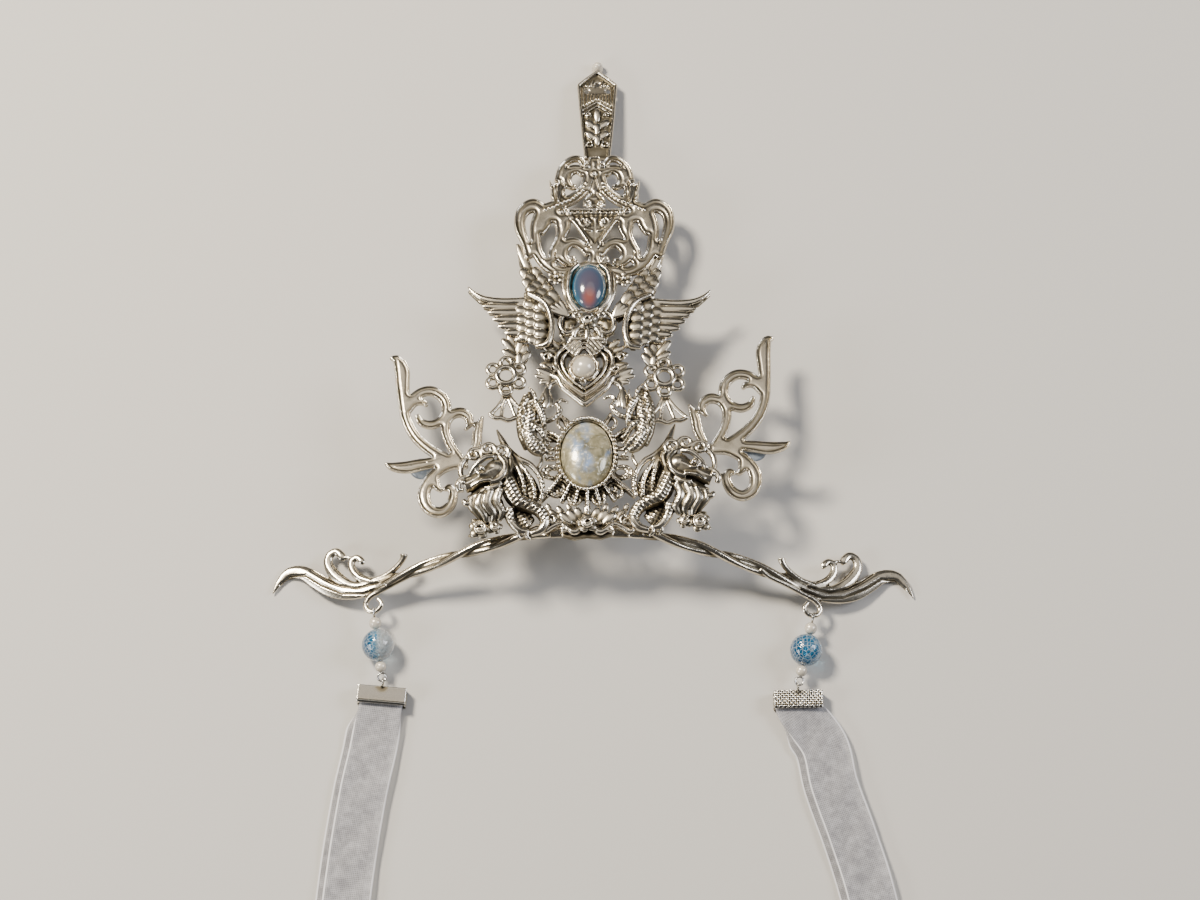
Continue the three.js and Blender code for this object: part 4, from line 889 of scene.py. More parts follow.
@dataclass
class Casting:
    """One casting: smooth limbs and knobs, on its solid or alone, cast together and given relief.

    `swell` is how far the solid is grown in plan, `melt` how often its corners are smoothed,
    `shave` the height that it is cut down to, and `slab` the two heights that all of it lies
    between. `voxel` is the size of the cells that it is cast in. All but `melt` are in millimetres.
    """

    node: str
    seat: Seat = field(default_factory=Seat)
    rims: Rims | None = None
    features: tuple[Feature, ...] = ()
    strands: tuple[Strand, ...] = ()
    knobs: tuple[Knob, ...] = ()
    voxel: float = 0.22
    slot: str = "silver"
    on_solid: bool = True
    swell: float = 0.25
    melt: int = 24
    slab: tuple[float, float] | None = None
    shave: float = 99.0

    def build(self, plate: Matrix, material: bpy.types.Material) -> bpy.types.Object:
        """Builds and dresses the casting.

        Args:
            plate: from plate places to the frame.
            material: its finish.

        Returns:
            The piece.
        """
        placed = plate @ self.seat.matrix()
        name = f"{self.node}_cast"
        parts = []
        if self.on_solid:
            solid = copy_solid(self.node, name)
            modify(solid, "REMESH", mode="VOXEL", voxel_size=self.voxel * MM, adaptivity=0.0)
            self.soften_solid(solid, placed)
            parts.append(solid)
        parts += [self.strand(s, placed) for s in self.strands]
        parts += [self.knob(k, placed) for k in self.knobs]
        piece = join(name, parts)
        if len(parts) > 1:
            modify(piece, "REMESH", mode="VOXEL", voxel_size=self.voxel * MM, adaptivity=0.0)
        if self.slab:
            co = moved(places(piece.data), placed.inverted())
            co[:, 2] = np.clip(co[:, 2], *self.slab)
            put_places(piece.data, moved(co, placed))
        self.raise_relief(piece, placed)
        modify(piece, "DECIMATE", ratio=KEPT_FACES)
        return dress(piece, material, self.slot, self.node)

    def soften_solid(self, piece: bpy.types.Object, placed: Matrix) -> None:
        """Turns the solid's facets into smooth cast curves and swells it a little in plan."""
        mesh = piece.data
        web = Web.of(mesh)
        co = web.melt(moved(places(mesh), placed.inverted()), self.melt)
        put_places(mesh, moved(co, placed))
        facing = moved(normals(mesh), placed.inverted().to_3x3().normalized().to_4x4())
        co[:, :2] += self.swell * facing[:, :2]
        co[:, 2] = np.minimum(co[:, 2], self.shave)
        put_places(mesh, moved(co, placed))

    def strand(self, strand: Strand, placed: Matrix) -> bpy.types.Object:
        """A strand as a closed tube in the frame, flattened towards the plate."""
        rows = flow(strand.points, SPAN_PARTS)
        curve = bpy.data.curves.new("strand", "CURVE")
        curve.dimensions = "3D"
        curve.bevel_depth = 1.0
        curve.bevel_resolution = 2
        curve.use_fill_caps = True
        spline = curve.splines.new("POLY")
        spline.points.add(len(rows) - 1)
        for point, (x, v, high, radius) in zip(spline.points, rows):
            point.co = (x, v, high / strand.flat, 1)
            point.radius = max(radius, THINNEST)
        made = bpy.data.objects.new("strand", curve)
        bpy.context.scene.collection.objects.link(made)
        take(made)
        bpy.ops.object.convert(target="MESH")
        made = bpy.context.object
        made.data.transform(placed @ Matrix.Diagonal((1, 1, strand.flat, 1)))
        return made

    def knob(self, knob: Knob, placed: Matrix) -> bpy.types.Object:
        """A knob as a ball in the frame."""
        deselect()
        bpy.ops.mesh.primitive_ico_sphere_add(subdivisions=3, radius=knob.radius)
        made = bpy.context.object
        shape = Matrix.Diagonal((*knob.stretch, 1))
        made.data.transform(placed @ Matrix.Translation((knob.x, knob.v, knob.height)) @ shape)
        return made

    def raise_relief(self, piece: bpy.types.Object, placed: Matrix) -> None:
        """Smooths the piece, raises its relief on the faces that look up and marks depth for patina
        and painted shade.
        """
        mesh = piece.data
        web = Web.of(mesh)
        co = web.melt(moved(places(mesh), placed.inverted()), 3)
        put_places(mesh, moved(co, placed))
        up = normals(mesh) @ np.array(placed.to_3x3() @ Vector((0, 0, 1))) / MM
        face = np.clip((up - FACES_FROM) / FACES_OVER, 0, 1)
        x, v = co[:, 0], co[:, 1]
        rise = np.zeros(len(co))
        if self.rims:
            walls = co[np.abs(up) < WALLS_UNDER]
            tree = KDTree(len(walls))
            for i, (a, b, _) in enumerate(walls):
                tree.insert((a, b, 0.0), i)
            tree.balance()
            away = np.array([tree.find((a, b, 0.0))[2] if f > 0 else 9.0 for a, b,
                             f in zip(x, v, face)])
            rise += self.rims.height(away)
        for feature in self.features:
            rise += feature.rise(x, v)
        co[:, 2] += rise * face
        co = web.smooth(co, 1, 0.35)
        put_places(mesh, moved(co, placed))
        mark_patina_and_shade(mesh, web, co, RECESS)


def flow(points: Rows, steps: int) -> list[Row]:
    """A smooth line through every point of a table, all of its columns eased alike.

    Args:
        points: the table's rows.
        steps: how many parts to cut each span in.

    Returns:
        The finer rows.
    """
    rows = np.array(points, float)
    ends = np.vstack([2 * rows[0] - rows[1], rows, 2 * rows[-1] - rows[-2]])
    fine = [rows[0]]
    for a, b, c, d in zip(ends, ends[1:], ends[2:], ends[3:]):
        for t in np.linspace(0, 1, steps + 1)[1:]:
            fine.append(0.5 * (2 * b + (c - a) * t + (2 * a - 5 * b + 4 * c - d) * t**2
                               + (3 * b - a - 3 * c + d) * t**3))
    return [tuple(row) for row in fine]


def band(rows: Rows, height: float, wider: float = 0.0) -> Strand:
    """A flat limb: its table gives (x, v, half width), and the casting's slab cuts it flat."""
    return Strand(tuple((x, v, height, half + wider) for x, v, half in rows))


def plume(row: Row, height: float, flat: float = 0.42) -> Strand:
    """A feather or leaf, full in the middle with a rounded tip.

    Args:
        row: root x and v, tip x and v, and half width.
        height: its height over the plate at the root; the tip stands a little higher.
        flat: its thickness as a share of its width.

    Returns:
        The strand.
    """
    rx, rv, tx, tv, half = row
    shares = ((0.0, 0.5), (0.3, 0.92), (0.62, 1.0), (0.86, 0.8), (1.0, 0.35))
    return Strand(tuple((rx + (tx - rx) * t, rv + (tv - rv) * t, height + 0.5 * t, half * w) for t,
                        w in shares),
                  flat)


def curl(x: float, v: float, height: float, size: float, radius: float, start: float,
         turns: float) -> Strand:
    """A spiral lock that winds in to its middle.

    Args:
        x: its middle across.
        v: its middle up.
        height: height over the plate.
        size: how far out it starts.
        radius: half its thickness.
        start: where it starts, in degrees.
        turns: how many turns it makes; minus is clockwise.

    Returns:
        The strand.
    """
    count = max(int(abs(turns) * 9), 4)
    rows = []
    for i in range(count + 1):
        share = i / count
        angle = math.radians(start) + 2 * math.pi * turns * share
        reach = size * (1 - 0.78 * share)
        rows.append((x + reach * math.cos(angle), v + reach * math.sin(angle), height + 0.4 * share,
                     radius * (1 - 0.3 * share)))
    return Strand(tuple(rows))


def blossom_petals(x: float, v: float, height: float, size: float, count: int,
                   half: float) -> tuple[Strand, ...]:
    """A ring of rounded petals round a middle."""
    made = []
    for i in range(count):
        angle = 2 * math.pi * i / count + 0.5
        dx, dv = math.cos(angle), math.sin(angle)
        made.append(plume((x + 0.25 * size * dx, v + 0.25 * size * dv, x + size * dx, v + size * dv,
                           half), height))
    return tuple(made)


def rose(x: float, v: float, height: float, size: float) -> tuple[Strand, ...]:
    """A rose: an outer ring of petals and a wound heart."""
    return (*blossom_petals(x, v, height - 0.5, size * 1.12, 5, size * 0.5),
            curl(x, v, height + 0.5, size * 0.74, 0.3 * size**0.5, 30, 1.9))


def mirrored(axis: float, strands: tuple[Strand, ...]) -> tuple[Strand, ...]:
    """Strands drawn from a middle line, set out on both its sides."""
    return tuple(
        Strand(tuple((axis + sign * x, v, high, radius) for x, v, high, radius in strand.points),
               strand.flat)
        for strand in strands for sign in (-1, 1))


# The rims of each kind of casting: distance in from the outline, half width and height.
SCROLL_RIM = Rims(((0.36, 0.32, 0.3), (1.25, 0.62, -0.16)), edge=0.18, drop=0.12)
FLAT_RIM = Rims(((0.26, 0.26, 0.3), (0.95, 0.5, -0.12)), edge=0.22, drop=0.15)
SOFT_EDGE = Rims(((0.5, 0.5, 0.12),), edge=0.45, drop=0.35)


# The scroll plate's limbs: (distance from its axis, v, half width).
SCROLL_LIMBS: tuple[Rows, ...] = (
    ((3, 118.4, 0.6), (4.4, 120.6, 0.8), (7, 120.4, 0.8), (9.8, 117.6, 0.7), (11, 113, 0.7)),
    ((3.2, 115.4, 0.9), (5, 117.2, 1.2), (7.4, 116.4, 1.4), (8.4, 113.6, 1.3), (7, 111.4, 0.9),
     (5.2, 111.3, 0.4)),
    ((1.4, 118, 1.5), (2.1, 113.5, 1.3), (3.4, 110, 1.3), (6.7, 107, 1.5), (10.5, 105.2, 1.7),
     (15, 102.8, 2.0)),
    ((14.7, 103.2, 1.7), (18, 104.9, 2.0), (20.9, 103, 1.7), (21.8, 99.6, 1.4), (21.4, 96.3, 1.3),
     (20.2, 92.7, 1.0), (19.1, 88.7, 0.9)),
    ((15.4, 102.6, 2), (17.2, 98, 1.4), (17.1, 93.6, 1.3), (16.4, 89, 1.4), (13.9, 85.1, 1.5),
     (10.2, 82.9, 1.5),
     (6.2, 82.9, 1.3), (1.8, 85.6, 1)),
    ((13.2, 101.8, 1.9), (10.2, 100.6, 1.8), (9.2, 98.2, 2.1), (9.6, 95.2, 1.4), (11, 92.4, 0.9),
     (12.5, 89.4, 0.7),
     (12.4, 86.8, 0.8)),
    ((14.6, 102, 2), (14.6, 98.6, 1.6), (15.8, 95.4, 0.8)),
    ((1.6, 88.4, 0.9), (3.9, 91.6, 1.2), (6.6, 92.5, 1.4), (9, 90.6, 1.7), (9.3, 87.8, 1.6),
     (7.6, 85.9, 1.2),
     (5.4, 86.4, 0.6)),
    ((8.8, 103.6, 0.4), (4.4, 97.4, 0.5), (0.4, 91, 0.6)),
)
# A side scroll's limbs, drawn for the right hand: (x, v, half width).
SIDE_LIMBS: tuple[Rows, ...] = (
    ((57.4, 54.8, 0.25), (55.3, 54.2, 1.4), (53.8, 51, 2.1), (53.4, 46, 1.9), (53, 41, 1.6),
     (52.2, 35.5, 1.4),
     (49.6, 30, 1.5), (45.2, 25.6, 1.6), (39.6, 22.3, 1.7), (34.5, 21.2, 1.7)),
    ((52.4, 34.4, 0.8), (51.8, 39.6, 1.2), (49.2, 43, 1.4), (45.6, 44.2, 1.5), (42.2, 42.4, 1.5),
     (40.8, 39, 1.4),
     (41.8, 35.4, 1.3), (44.8, 33.4, 1.3), (47.8, 34.2, 1.1), (49.2, 36.6, 0.6)),
    ((51.8, 37.6, 0.9), (49.8, 40.4, 1.0), (47.4, 40.6, 0.9), (46.4, 39.4, 0.5)),
    ((36.2, 22, 1.4), (39.6, 27.4, 1.3), (41, 32.4, 1.3), (39.8, 36, 1.4), (37, 37.4, 1.5),
     (34.7, 36.2, 1.4),
     (34.2, 33.8, 1.0), (35.4, 31.8, 0.4)),
    ((30.4, 36.2, 0.25), (31.3, 33.8, 1.1), (31.9, 31, 1.4), (32.1, 27.6, 1.4), (33.4, 23.4, 1.2)),
    ((34.6, 34.2, 0.6), (31.8, 33.4, 0.6)),
    ((41.2, 38, 0.8), (40.2, 35.2, 0.8)),
    ((57.8, 21.4, 0.25), (55.8, 20.3, 1.2), (52, 20, 1.8), (47.5, 20.9, 1.7), (42.5, 21.8, 1.4),
     (36.6, 21.6, 1.3)),
    ((34.4, 21.2, 1.3), (40, 20.4, 1.4), (44.4, 17, 1.6), (46.6, 12.2, 1.8), (45.6, 7.9, 1.7),
     (42.4, 6, 1.6),
     (39.4, 7.8, 1.5), (38.3, 11.4, 1.3), (39.4, 13.8, 1.0), (41, 13, 0.5)),
    ((38.6, 12.8, 0.6), (35.4, 13, 0.6)),
    ((43.6, 17.4, 1.2), (43, 14.2, 1.1), (41.6, 12.6, 0.5)),
)


class CastingSet:
    """All the castings of the plate, from the finial to the foot."""

    def all(self) -> list[Casting]:
        """Every casting of the plate."""
        return [*self.crest_castings(), *self.heart_castings(), *self.foot_castings(),
                *self.pair_castings()]

    def crest_castings(self) -> list[Casting]:
        """The finial, the scroll plate and the setting of the upper stone."""
        axis = 1.3
        arch = ((2.3, 113), (3.4, 110), (6.7, 107), (10.5, 105.2), (15, 103))
        dots = tuple(Beading(tuple((axis + sign * x, v) for x, v in arch), 1.3, 0.5, 0.34)
                     for sign in (-1, 1))
        ridges = tuple(
            Ridge(((axis + sign * 10.7, 106), (axis + sign * (10.7 + out), 112)), 0.45, 0.25)
            for sign in (-1, 1) for out in (-1.2, 0, 1.2))
        finial = mirrored(2.1, (
            Strand(((3.4, 121, 1.2, 0.5), (4.6, 134, 1.2, 0.5), (5.5, 146.4, 1.2, 0.5))),
            Strand(((5.6, 146.3, 1.2, 0.5), (2.8, 148.8, 1.3, 0.5), (0, 151, 1.4, 0.5))),
            Strand(((0, 140.6, 1.1, 0.32), (4.8, 137.4, 1.1, 0.32))),
            Strand(((0, 139.2, 1.1, 0.26), (4.6, 136.2, 1.1, 0.26))),
            *(Strand(((u, 141.6 - 0.6 * u, 0.95, 0.27), (u, 143.3 + (u > 3.6) * 2.6, 0.95, 0.27)))
              for u in (0.45, 1.35, 2.25, 3.15, 4.05, 4.9)),
            *(Strand(((u, 146 + (u < 1.2) * 1.8, 0.95, 0.27), (u, 149.2 - 0.75 * u, 0.95, 0.27)))
              for u in (1.45, 2.35, 3.3)),
            plume((0.3, 127.6, 3.2, 130.2, 1.15), 1.0, 0.35),
            plume((0.3, 131.4, 3.4, 134, 1.2), 1.0, 0.35),
            curl(2.5, 126, 1.1, 1.2, 0.35, 120, 1.1), curl(2.8, 136, 1.1, 1.0, 0.3, 200, -1.1)))
        finial += (plume((2.1, 133.6, 2.1, 138, 1.0), 1.1, 0.4),
                   plume((2.1, 129, 2.1, 133, 0.9), 1.1, 0.4),
                   plume((2.1, 125.4, 2.1, 129, 0.9), 1.1, 0.4))
        setting = mirrored(-0.2, (
            Strand(((3, 84.8, 4.4, 0.6), (5.3, 82.2, 4.8, 0.75), (6.1, 77.6, 4.8, 0.7),
                    (5.6, 73.2, 4.6, 0.7),
                    (3, 69.6, 4.2, 0.7))),
            Strand(((5.2, 83.8, 4, 0.5), (7.2, 80.6, 4.2, 0.6), (7.3, 76, 4.2, 0.6),
                    (5.6, 71.4, 4, 0.6),
                    (4.2, 69.2, 4, 0.5))),
            curl(4.6, 86.4, 4.4, 1.4, 0.5, 200, 1.1), curl(3.4, 68.2, 4.2, 1.3, 0.5, 60, -1.1)))
        return [
            Casting("finial_plate", voxel=0.18, swell=0.1, melt=6, shave=0.75, strands=finial),
            Casting("scroll_plate", Layer.MIDDLE.seat, SCROLL_RIM, dots + ridges, voxel=0.2,
                    on_solid=False, slab=(1.55, 2.7), strands=self.scroll_limbs(axis),
                    knobs=tuple(Knob(axis + sign * x, v, 2.2, r) for sign in (-1, 1)
                                for x, v, r in ((19.1, 88.2, 1.3), (12, 86.2, 1.2),
                                                (15.2, 103, 1.2)))),
            Casting("opal_setting", Layer.FRONT.seat, strands=setting),
        ]

    def scroll_limbs(self, axis: float) -> tuple[Strand, ...]:
        """The scroll plate's limbs, its panel, its tulips and the arch at its head."""
        fill = tuple(Strand(((0.3, 91.4, 1.75, 1), (0.5 * out + 0.2, 97, 1.75, 1.1),
                             (out, 102.8, 1.75, 1)), 0.5)
                     for out in (0.6, 2.2, 3.8, 5.4, 7))
        panel = mirrored(axis, (
            *fill, curl(2.7, 99.4, 2.3, 1.7, 0.46, 70, -1.0),
            Strand(((7.6, 102.6, 2.3, 0.4), (4.2, 97.6, 2.3, 0.44), (0.8, 92.6, 2.3, 0.44))),
            Strand(((0.8, 96.4, 2.2, 0.4), (3.4, 97.4, 2.2, 0.4), (5.2, 100.8, 2.2, 0.36))),
            Strand(((0.4, 103.4, 2.3, 0.42), (8, 103.4, 2.3, 0.42))),
            Strand(((0, 104.6, 1.7, 1.6), (0.8, 106.4, 1.7, 1.6), (0.2, 109.6, 1.7, 1)), 0.5),
            curl(1.5, 105.2, 2.4, 1.1, 0.42, 250, 0.9),
            Strand(((2.9, 104.6, 2.1, 0.45), (2.7, 106.8, 2.1, 0.45), (0, 110.4, 2.1, 0.45)))))
        middle = (band(((axis, 91, 1.0), (axis, 87.6, 1.8), (axis, 84.4, 2.6)), 2.1),
                  Strand(((axis, 109, 1.8, 1.8), (axis, 113, 1.8, 1.6), (axis, 116, 1.8, 1.6)),
                         0.4),
                  band(((axis, 115.6, 1.8), (axis, 119.4, 2.1), (axis, 121.4, 1.8)), 2.1))
        tulips = mirrored(axis, (
            Strand(((10.8, 105.4, 1.9, 0.9), (10.7, 108, 2, 2.4), (10.8, 110.6, 2, 1.9),
                    (10.8, 112.6, 2, 1.4)), 0.4),
            band(((9.4, 109, 0.5), (8.8, 111.6, 0.5), (8.4, 113.6, 0.15)), 2.1),
            band(((12.2, 109, 0.5), (12.8, 111.6, 0.5), (13.2, 113.6, 0.15)), 2.1)))
        limbs = mirrored(axis, tuple(band(rows, 2.1, 0.34) for rows in SCROLL_LIMBS))
        return limbs + panel + middle + tulips

    def heart_castings(self) -> list[Casting]:
        """The mask, the heart, the cup and the chevron."""
        mask = (
            *mirrored(-0.8, (
                Strand(((1.4, 67.8, 3.2, 0.7), (4.2, 69, 3.4, 0.8), (7, 67.8, 3.4, 0.85),
                        (7.7, 64.4, 3.4, 0.85),
                        (6.2, 62.2, 3.4, 0.75), (4.3, 62.8, 3.4, 0.65), (4.3, 64.8, 3.5, 0.55))),
                Strand(((3, 66.4, 2.2, 1.2), (5.4, 66, 2.2, 1.8), (5.8, 63.8, 2.2, 1.4)), 0.4),
                Strand(((0.9, 64.6, 3.2, 0.7), (3, 63.2, 3.3, 0.8), (4, 61, 3.2, 0.7))),
                plume((0.6, 61, 5.2, 60.4, 1.0), 2.8), plume((4.2, 61.4, 8, 62.4, 0.8), 2.6),
                plume((1.6, 62.8, 5.6, 59, 0.8), 2.6),
                Strand(((2.4, 69.6, 3, 0.5), (4.6, 71, 3.2, 0.5), (6.6, 69.6, 3, 0.4))))),
            *rose(-0.8, 66, 4.2, 2.5), Strand(((-0.8, 64, 3, 1), (-0.8, 60.4, 3, 0.9))))
        axis, slope = -1.6, 0.95
        roof = tuple(
            Strand(((axis - w, top - w * slope, 2.4, 0.42), (axis, top, 2.9, 0.5),
                    (axis + w, top - w * slope, 2.4, 0.42)))
            for w, top in ((5.6, 62.8), (5.0, 61.4), (4.4, 60), (3.6, 58.6), (2.6, 57.2)))
        heart = roof + mirrored(axis, (
            Strand(((1.4, 57.6, 1.6, 0.6), (4.4, 58, 1.8, 0.65), (7.4, 56, 1.8, 0.7),
                    (8.1, 52.6, 1.8, 0.7),
                    (6.4, 48.4, 1.8, 0.7), (3.6, 45.2, 1.8, 0.7), (0, 42.4, 1.8, 0.7))),
            Strand(((2.8, 55, 1.6, 0.5), (5, 56, 1.6, 0.5), (6.4, 53.2, 1.6, 0.55),
                    (5.3, 49.6, 1.6, 0.5),
                    (3, 46.8, 1.6, 0.5), (0, 44.4, 1.6, 0.5))),
            plume((7.6, 54, 12.6, 55.8, 1.2), 1.2), plume((7.8, 52.4, 12.8, 52.2, 1.1), 1.2),
            plume((6.6, 57.2, 10.2, 60.4, 1.0), 1.2), plume((7, 49.4, 11, 50, 1.0), 1.2),
            plume((5.4, 59.4, 7, 62.8, 0.8), 1.2), plume((7.4, 56, 11.8, 58, 1.0), 1.4),
            curl(10.6, 54.2, 2.4, 1.5, 0.45, 180, -1.2), curl(9, 50.8, 2.2, 1.3, 0.4, 160, 1.2)))
        ends = mirrored(-1.4, (
            plume((8.4, 48.4, 13.8, 50.6, 1.15), 2.8), plume((8.6, 48, 14.4, 48.6, 1.05), 2.6),
            plume((8.2, 47.4, 13, 46.4, 1.0), 2.4), plume((8.6, 48.8, 12, 52.4, 1.0), 2.4),
            Strand(((7.8, 47, 2.6, 0.8), (9.8, 45.8, 2.6, 0.8), (10.8, 43.4, 2.6, 0.7))),
            plume((10.8, 44.4, 9.4, 38.4, 1.05), 2.6), plume((10.8, 44.4, 12.9, 38.8, 1.05), 2.6),
            plume((10.8, 44.8, 11.2, 37.8, 1.25), 3),
            Strand(((0, 39.3, 3, 1.05), (3.2, 42, 3, 0.95), (6.4, 45, 3, 0.9), (7.6, 47.6, 3, 0.8),
                    (9.6, 48.8, 2.8, 0.7))),
            Strand(((0, 41.2, 2.4, 0.4), (3.1, 43.6, 2.4, 0.4), (5.6, 46, 2.4, 0.4)))))
        return [
            Casting("rose_mask", Layer.MIDDLE.seat, strands=mask, on_solid=False),
            Casting("heart_filigree", strands=heart, voxel=0.2),
            Casting("pearl_cup", Layer.MIDDLE.seat, SOFT_EDGE, voxel=0.18, swell=0.1, melt=6,
                    strands=(curl(-1.7, 46.4, 4, 1.2, 0.35, 90, 0.95),)),
            Casting("chevron_bar", Layer.MIDDLE.seat, strands=ends, on_solid=False),
        ]

    def foot_castings(self) -> list[Casting]:
        """The sunburst, the bezel and the ornament at the foot."""
        loops = ((10.2, 18.4, 2.6, 1.9, 0), (8.2, 12.8, 2.2, 1.7, -50), (3.4, 10.6, 1.7, 2.2, 0),
                 (10.2, 27.4, 2.4, 1.8, 20), (6.6, 33.6, 2.0, 1.5, 50))
        rings = []
        for x, v, rx, rv, turn in loops:
            lean = math.radians(turn)
            rows = []
            for i in range(13):
                a = 2 * math.pi * i / 12
                dx, dv = rx * math.cos(a), rv * math.sin(a)
                rows.append((x + dx * math.cos(lean) - dv * math.sin(lean),
                             v + dx * math.sin(lean) + dv * math.cos(lean), 0.9, 0.6))
            rings.append(Strand(tuple(rows)))
        rays = ((-5.6, 31.6, -7.9, 35.9), (4, 31.8, 6.1, 36.7), (-8.2, 28.2, -12.1, 31),
                (6.7, 28.6, 10.5, 32),
                (-7.6, 16.8, -14.2, 9), (6, 16.8, 13, 10.7), (-5, 14.6, -8, 9),
                (3.6, 14.4, 7.3, 9.4),
                (-0.7, 12.6, -0.6, 4.4), (-3, 13, -4.4, 8), (1.6, 13, 3.2, 8))
        sun = mirrored(-0.8, tuple(rings)) + tuple(
            Strand(((ax, av, 3, 0.62), (bx, bv, 1.6, 0.52))) for ax, av, bx, bv in rays)
        grains = tuple(Knob(-0.8 + 8.35 * math.cos(a), 23.6 + 11.15 * math.sin(a), 4.05, 0.56)
                       for a in np.linspace(0, 2 * math.pi, 50, endpoint=False))
        leaves = mirrored(-0.6, (
            plume((1.4, 2.8, 3.2, 7.2, 1.2), 1.4), plume((2.8, 2.6, 5.6, 6.4, 1.2), 1.5),
            plume((4.4, 2.2, 7.8, 5.4, 1.2), 1.6), plume((5.8, 3.8, 8.6, 7.8, 1.0), 1.0),
            plume((7.6, 3, 10.6, 6.4, 1.1), 1.3), plume((9.2, 2.2, 12.6, 4.6, 1.1), 1.4),
            plume((4.2, 4.8, 5.6, 8.6, 0.9), 0.9), plume((10.2, 5.4, 11.4, 8.6, 0.9), 0.9),
            Strand(((1.6, 0.8, 2, 0.9), (3.6, -0.6, 2, 0.95), (5.6, 0.6, 2, 0.8), (7.4, 2, 2, 0.7),
                    (9.6, 1.2, 2, 0.8), (12, -0.4, 2, 0.7), (13.4, 0.8, 2, 0.5))),
            curl(6.6, 0.4, 2.2, 1.3, 0.5, 90, 1.0), curl(10.4, 3.6, 2, 1.5, 0.45, -60, -1.2)))
        leaves += (plume((-0.6, 3, -0.6, 8.4, 1.1), 1.5), *rose(-0.6, 1.9, 3, 2.5))
        return [
            Casting("sunburst_plate", strands=sun, features=(Pebbles(-0.8, 20, 16, 0.9, 0.14),)),
            Casting("moonstone_bezel", Layer.MIDDLE.seat, swell=0.05, melt=4, voxel=0.15,
                    knobs=grains),
            Casting("base_rose", strands=leaves),
        ]

    def pair_castings(self) -> list[Casting]:
        """Both hands of the paired castings."""
        made = []
        flower = blossom_petals(0, 0, 4.2, 2.4, 6, 0.85)
        ring = tuple(
            Strand(tuple((4.3 * math.cos(a) + 1.6 * math.cos(b),
                          4.3 * math.sin(a) + 1.6 * math.sin(b), 3.8, 0.72)
                         for b in np.linspace(0, 2 * math.pi, 11)))
            for a in (np.arange(6) + 0.5) * math.pi / 3)
        ring += (Strand(tuple((2.6 * math.cos(b), 2.6 * math.sin(b), 4.3, 0.95)
                              for b in np.linspace(0, 6.2832, 19))),)
        fan = (
            Strand(((-0.4, 0.4, 2.2, 0.8), (-2.2, -3, 2.2, 0.7), (-4.7, -6, 2.2, 0.75))),
            Strand(((0.4, 0.4, 2.2, 0.8), (3, -3, 2.2, 0.7), (6.1, -6, 2.2, 0.75))),
            Strand(((0, 0, 2.2, 0.7), (-0.9, -3.4, 2.2, 0.6), (-1.5, -6.8, 2.2, 0.6))),
            Strand(((0.2, 0, 2.2, 0.7), (1.4, -3.4, 2.2, 0.6), (2.7, -6.9, 2.2, 0.6))),
            Strand(((-4.8, -5.8, 2.2, 0.7), (-3, -6.9, 2.2, 0.75), (-1.5, -6.9, 2.2, 0.75),
                    (0.6, -7.7, 2.2, 0.75),
                    (2.6, -6.9, 2.2, 0.75), (4.4, -6.9, 2.2, 0.75), (6.2, -5.8, 2.2, 0.7))),
            Strand(((-1.4, 1, 2.4, 0.9), (1.4, 1, 2.4, 0.9))))
        for side in Side:
            roses = (*rose(30.7, 0.4, 3.4, 2.7), *rose(26.6, 1.2, 3, 2.0),
                     plume((29, 1, 33.8, -1.6, 0.9), 2), plume((27, 2, 33, 3.4, 1.0), 2.2))
            seats = {name: side.seat(name, layer) for name, layer in PAIR_LAYERS.items()}
            made += [
                Casting(f"upper_wing_{side.value}", seats["upper_wing"],
                        strands=self.upper_plumage(), voxel=0.2),
                Casting(f"mid_wing_{side.value}", seats["mid_wing"], strands=self.mid_plumage(),
                        voxel=0.2),
                Casting(f"leaf_sprig_{side.value}", seats["leaf_sprig"],
                        strands=self.sprig_leaves(), voxel=0.18),
                Casting(f"small_dragon_{side.value}", seats["small_dragon"], on_solid=False,
                        voxel=0.18,
                        features=(Pebbles(17, 32, 14, 1.05, 0.14),), strands=self.dragon_strands()),
                Casting(f"winged_horse_{side.value}", seats["winged_horse"], on_solid=False,
                        features=(Pebbles(17, 9, 8.5, 1.15, 0.18),
                                  Ridge(((36.4, 9.6), (33.6, 10.4), (31, 12)), 0.4, -0.7)),
                        strands=self.horse_strands(),
                        knobs=self.horse_knobs()),
                Casting(f"horse_rose_{side.value}", seats["horse_rose"], on_solid=False,
                        strands=roses, voxel=0.18),
                Casting(f"side_scroll_{side.value}", seats["side_scroll"], FLAT_RIM, on_solid=False,
                        slab=(0.05, 1.2),
                        strands=tuple(band(rows, 0.65, 0.1) for rows in SIDE_LIMBS)),
                Casting(f"flower_ring_{side.value}",
                        side.placed((-23.9, 48.6), (21.3, 48.1), Layer.FRONT),
                        strands=ring, voxel=0.18, on_solid=False),
                Casting(f"fan_{side.value}", side.placed((-23.7, 42.4), (21.5, 41.6), Layer.MIDDLE),
                        strands=fan, voxel=0.18, on_solid=False),
                Casting(f"blossom_{side.value}",
                        side.placed((-9.8, 80.4), (9.8, 79.8), Layer.FRONT),
                        slot="dark_silver", voxel=0.15, strands=flower,
                        knobs=(Knob(0, 0, 5, 0.8),)),
            ]
        return made

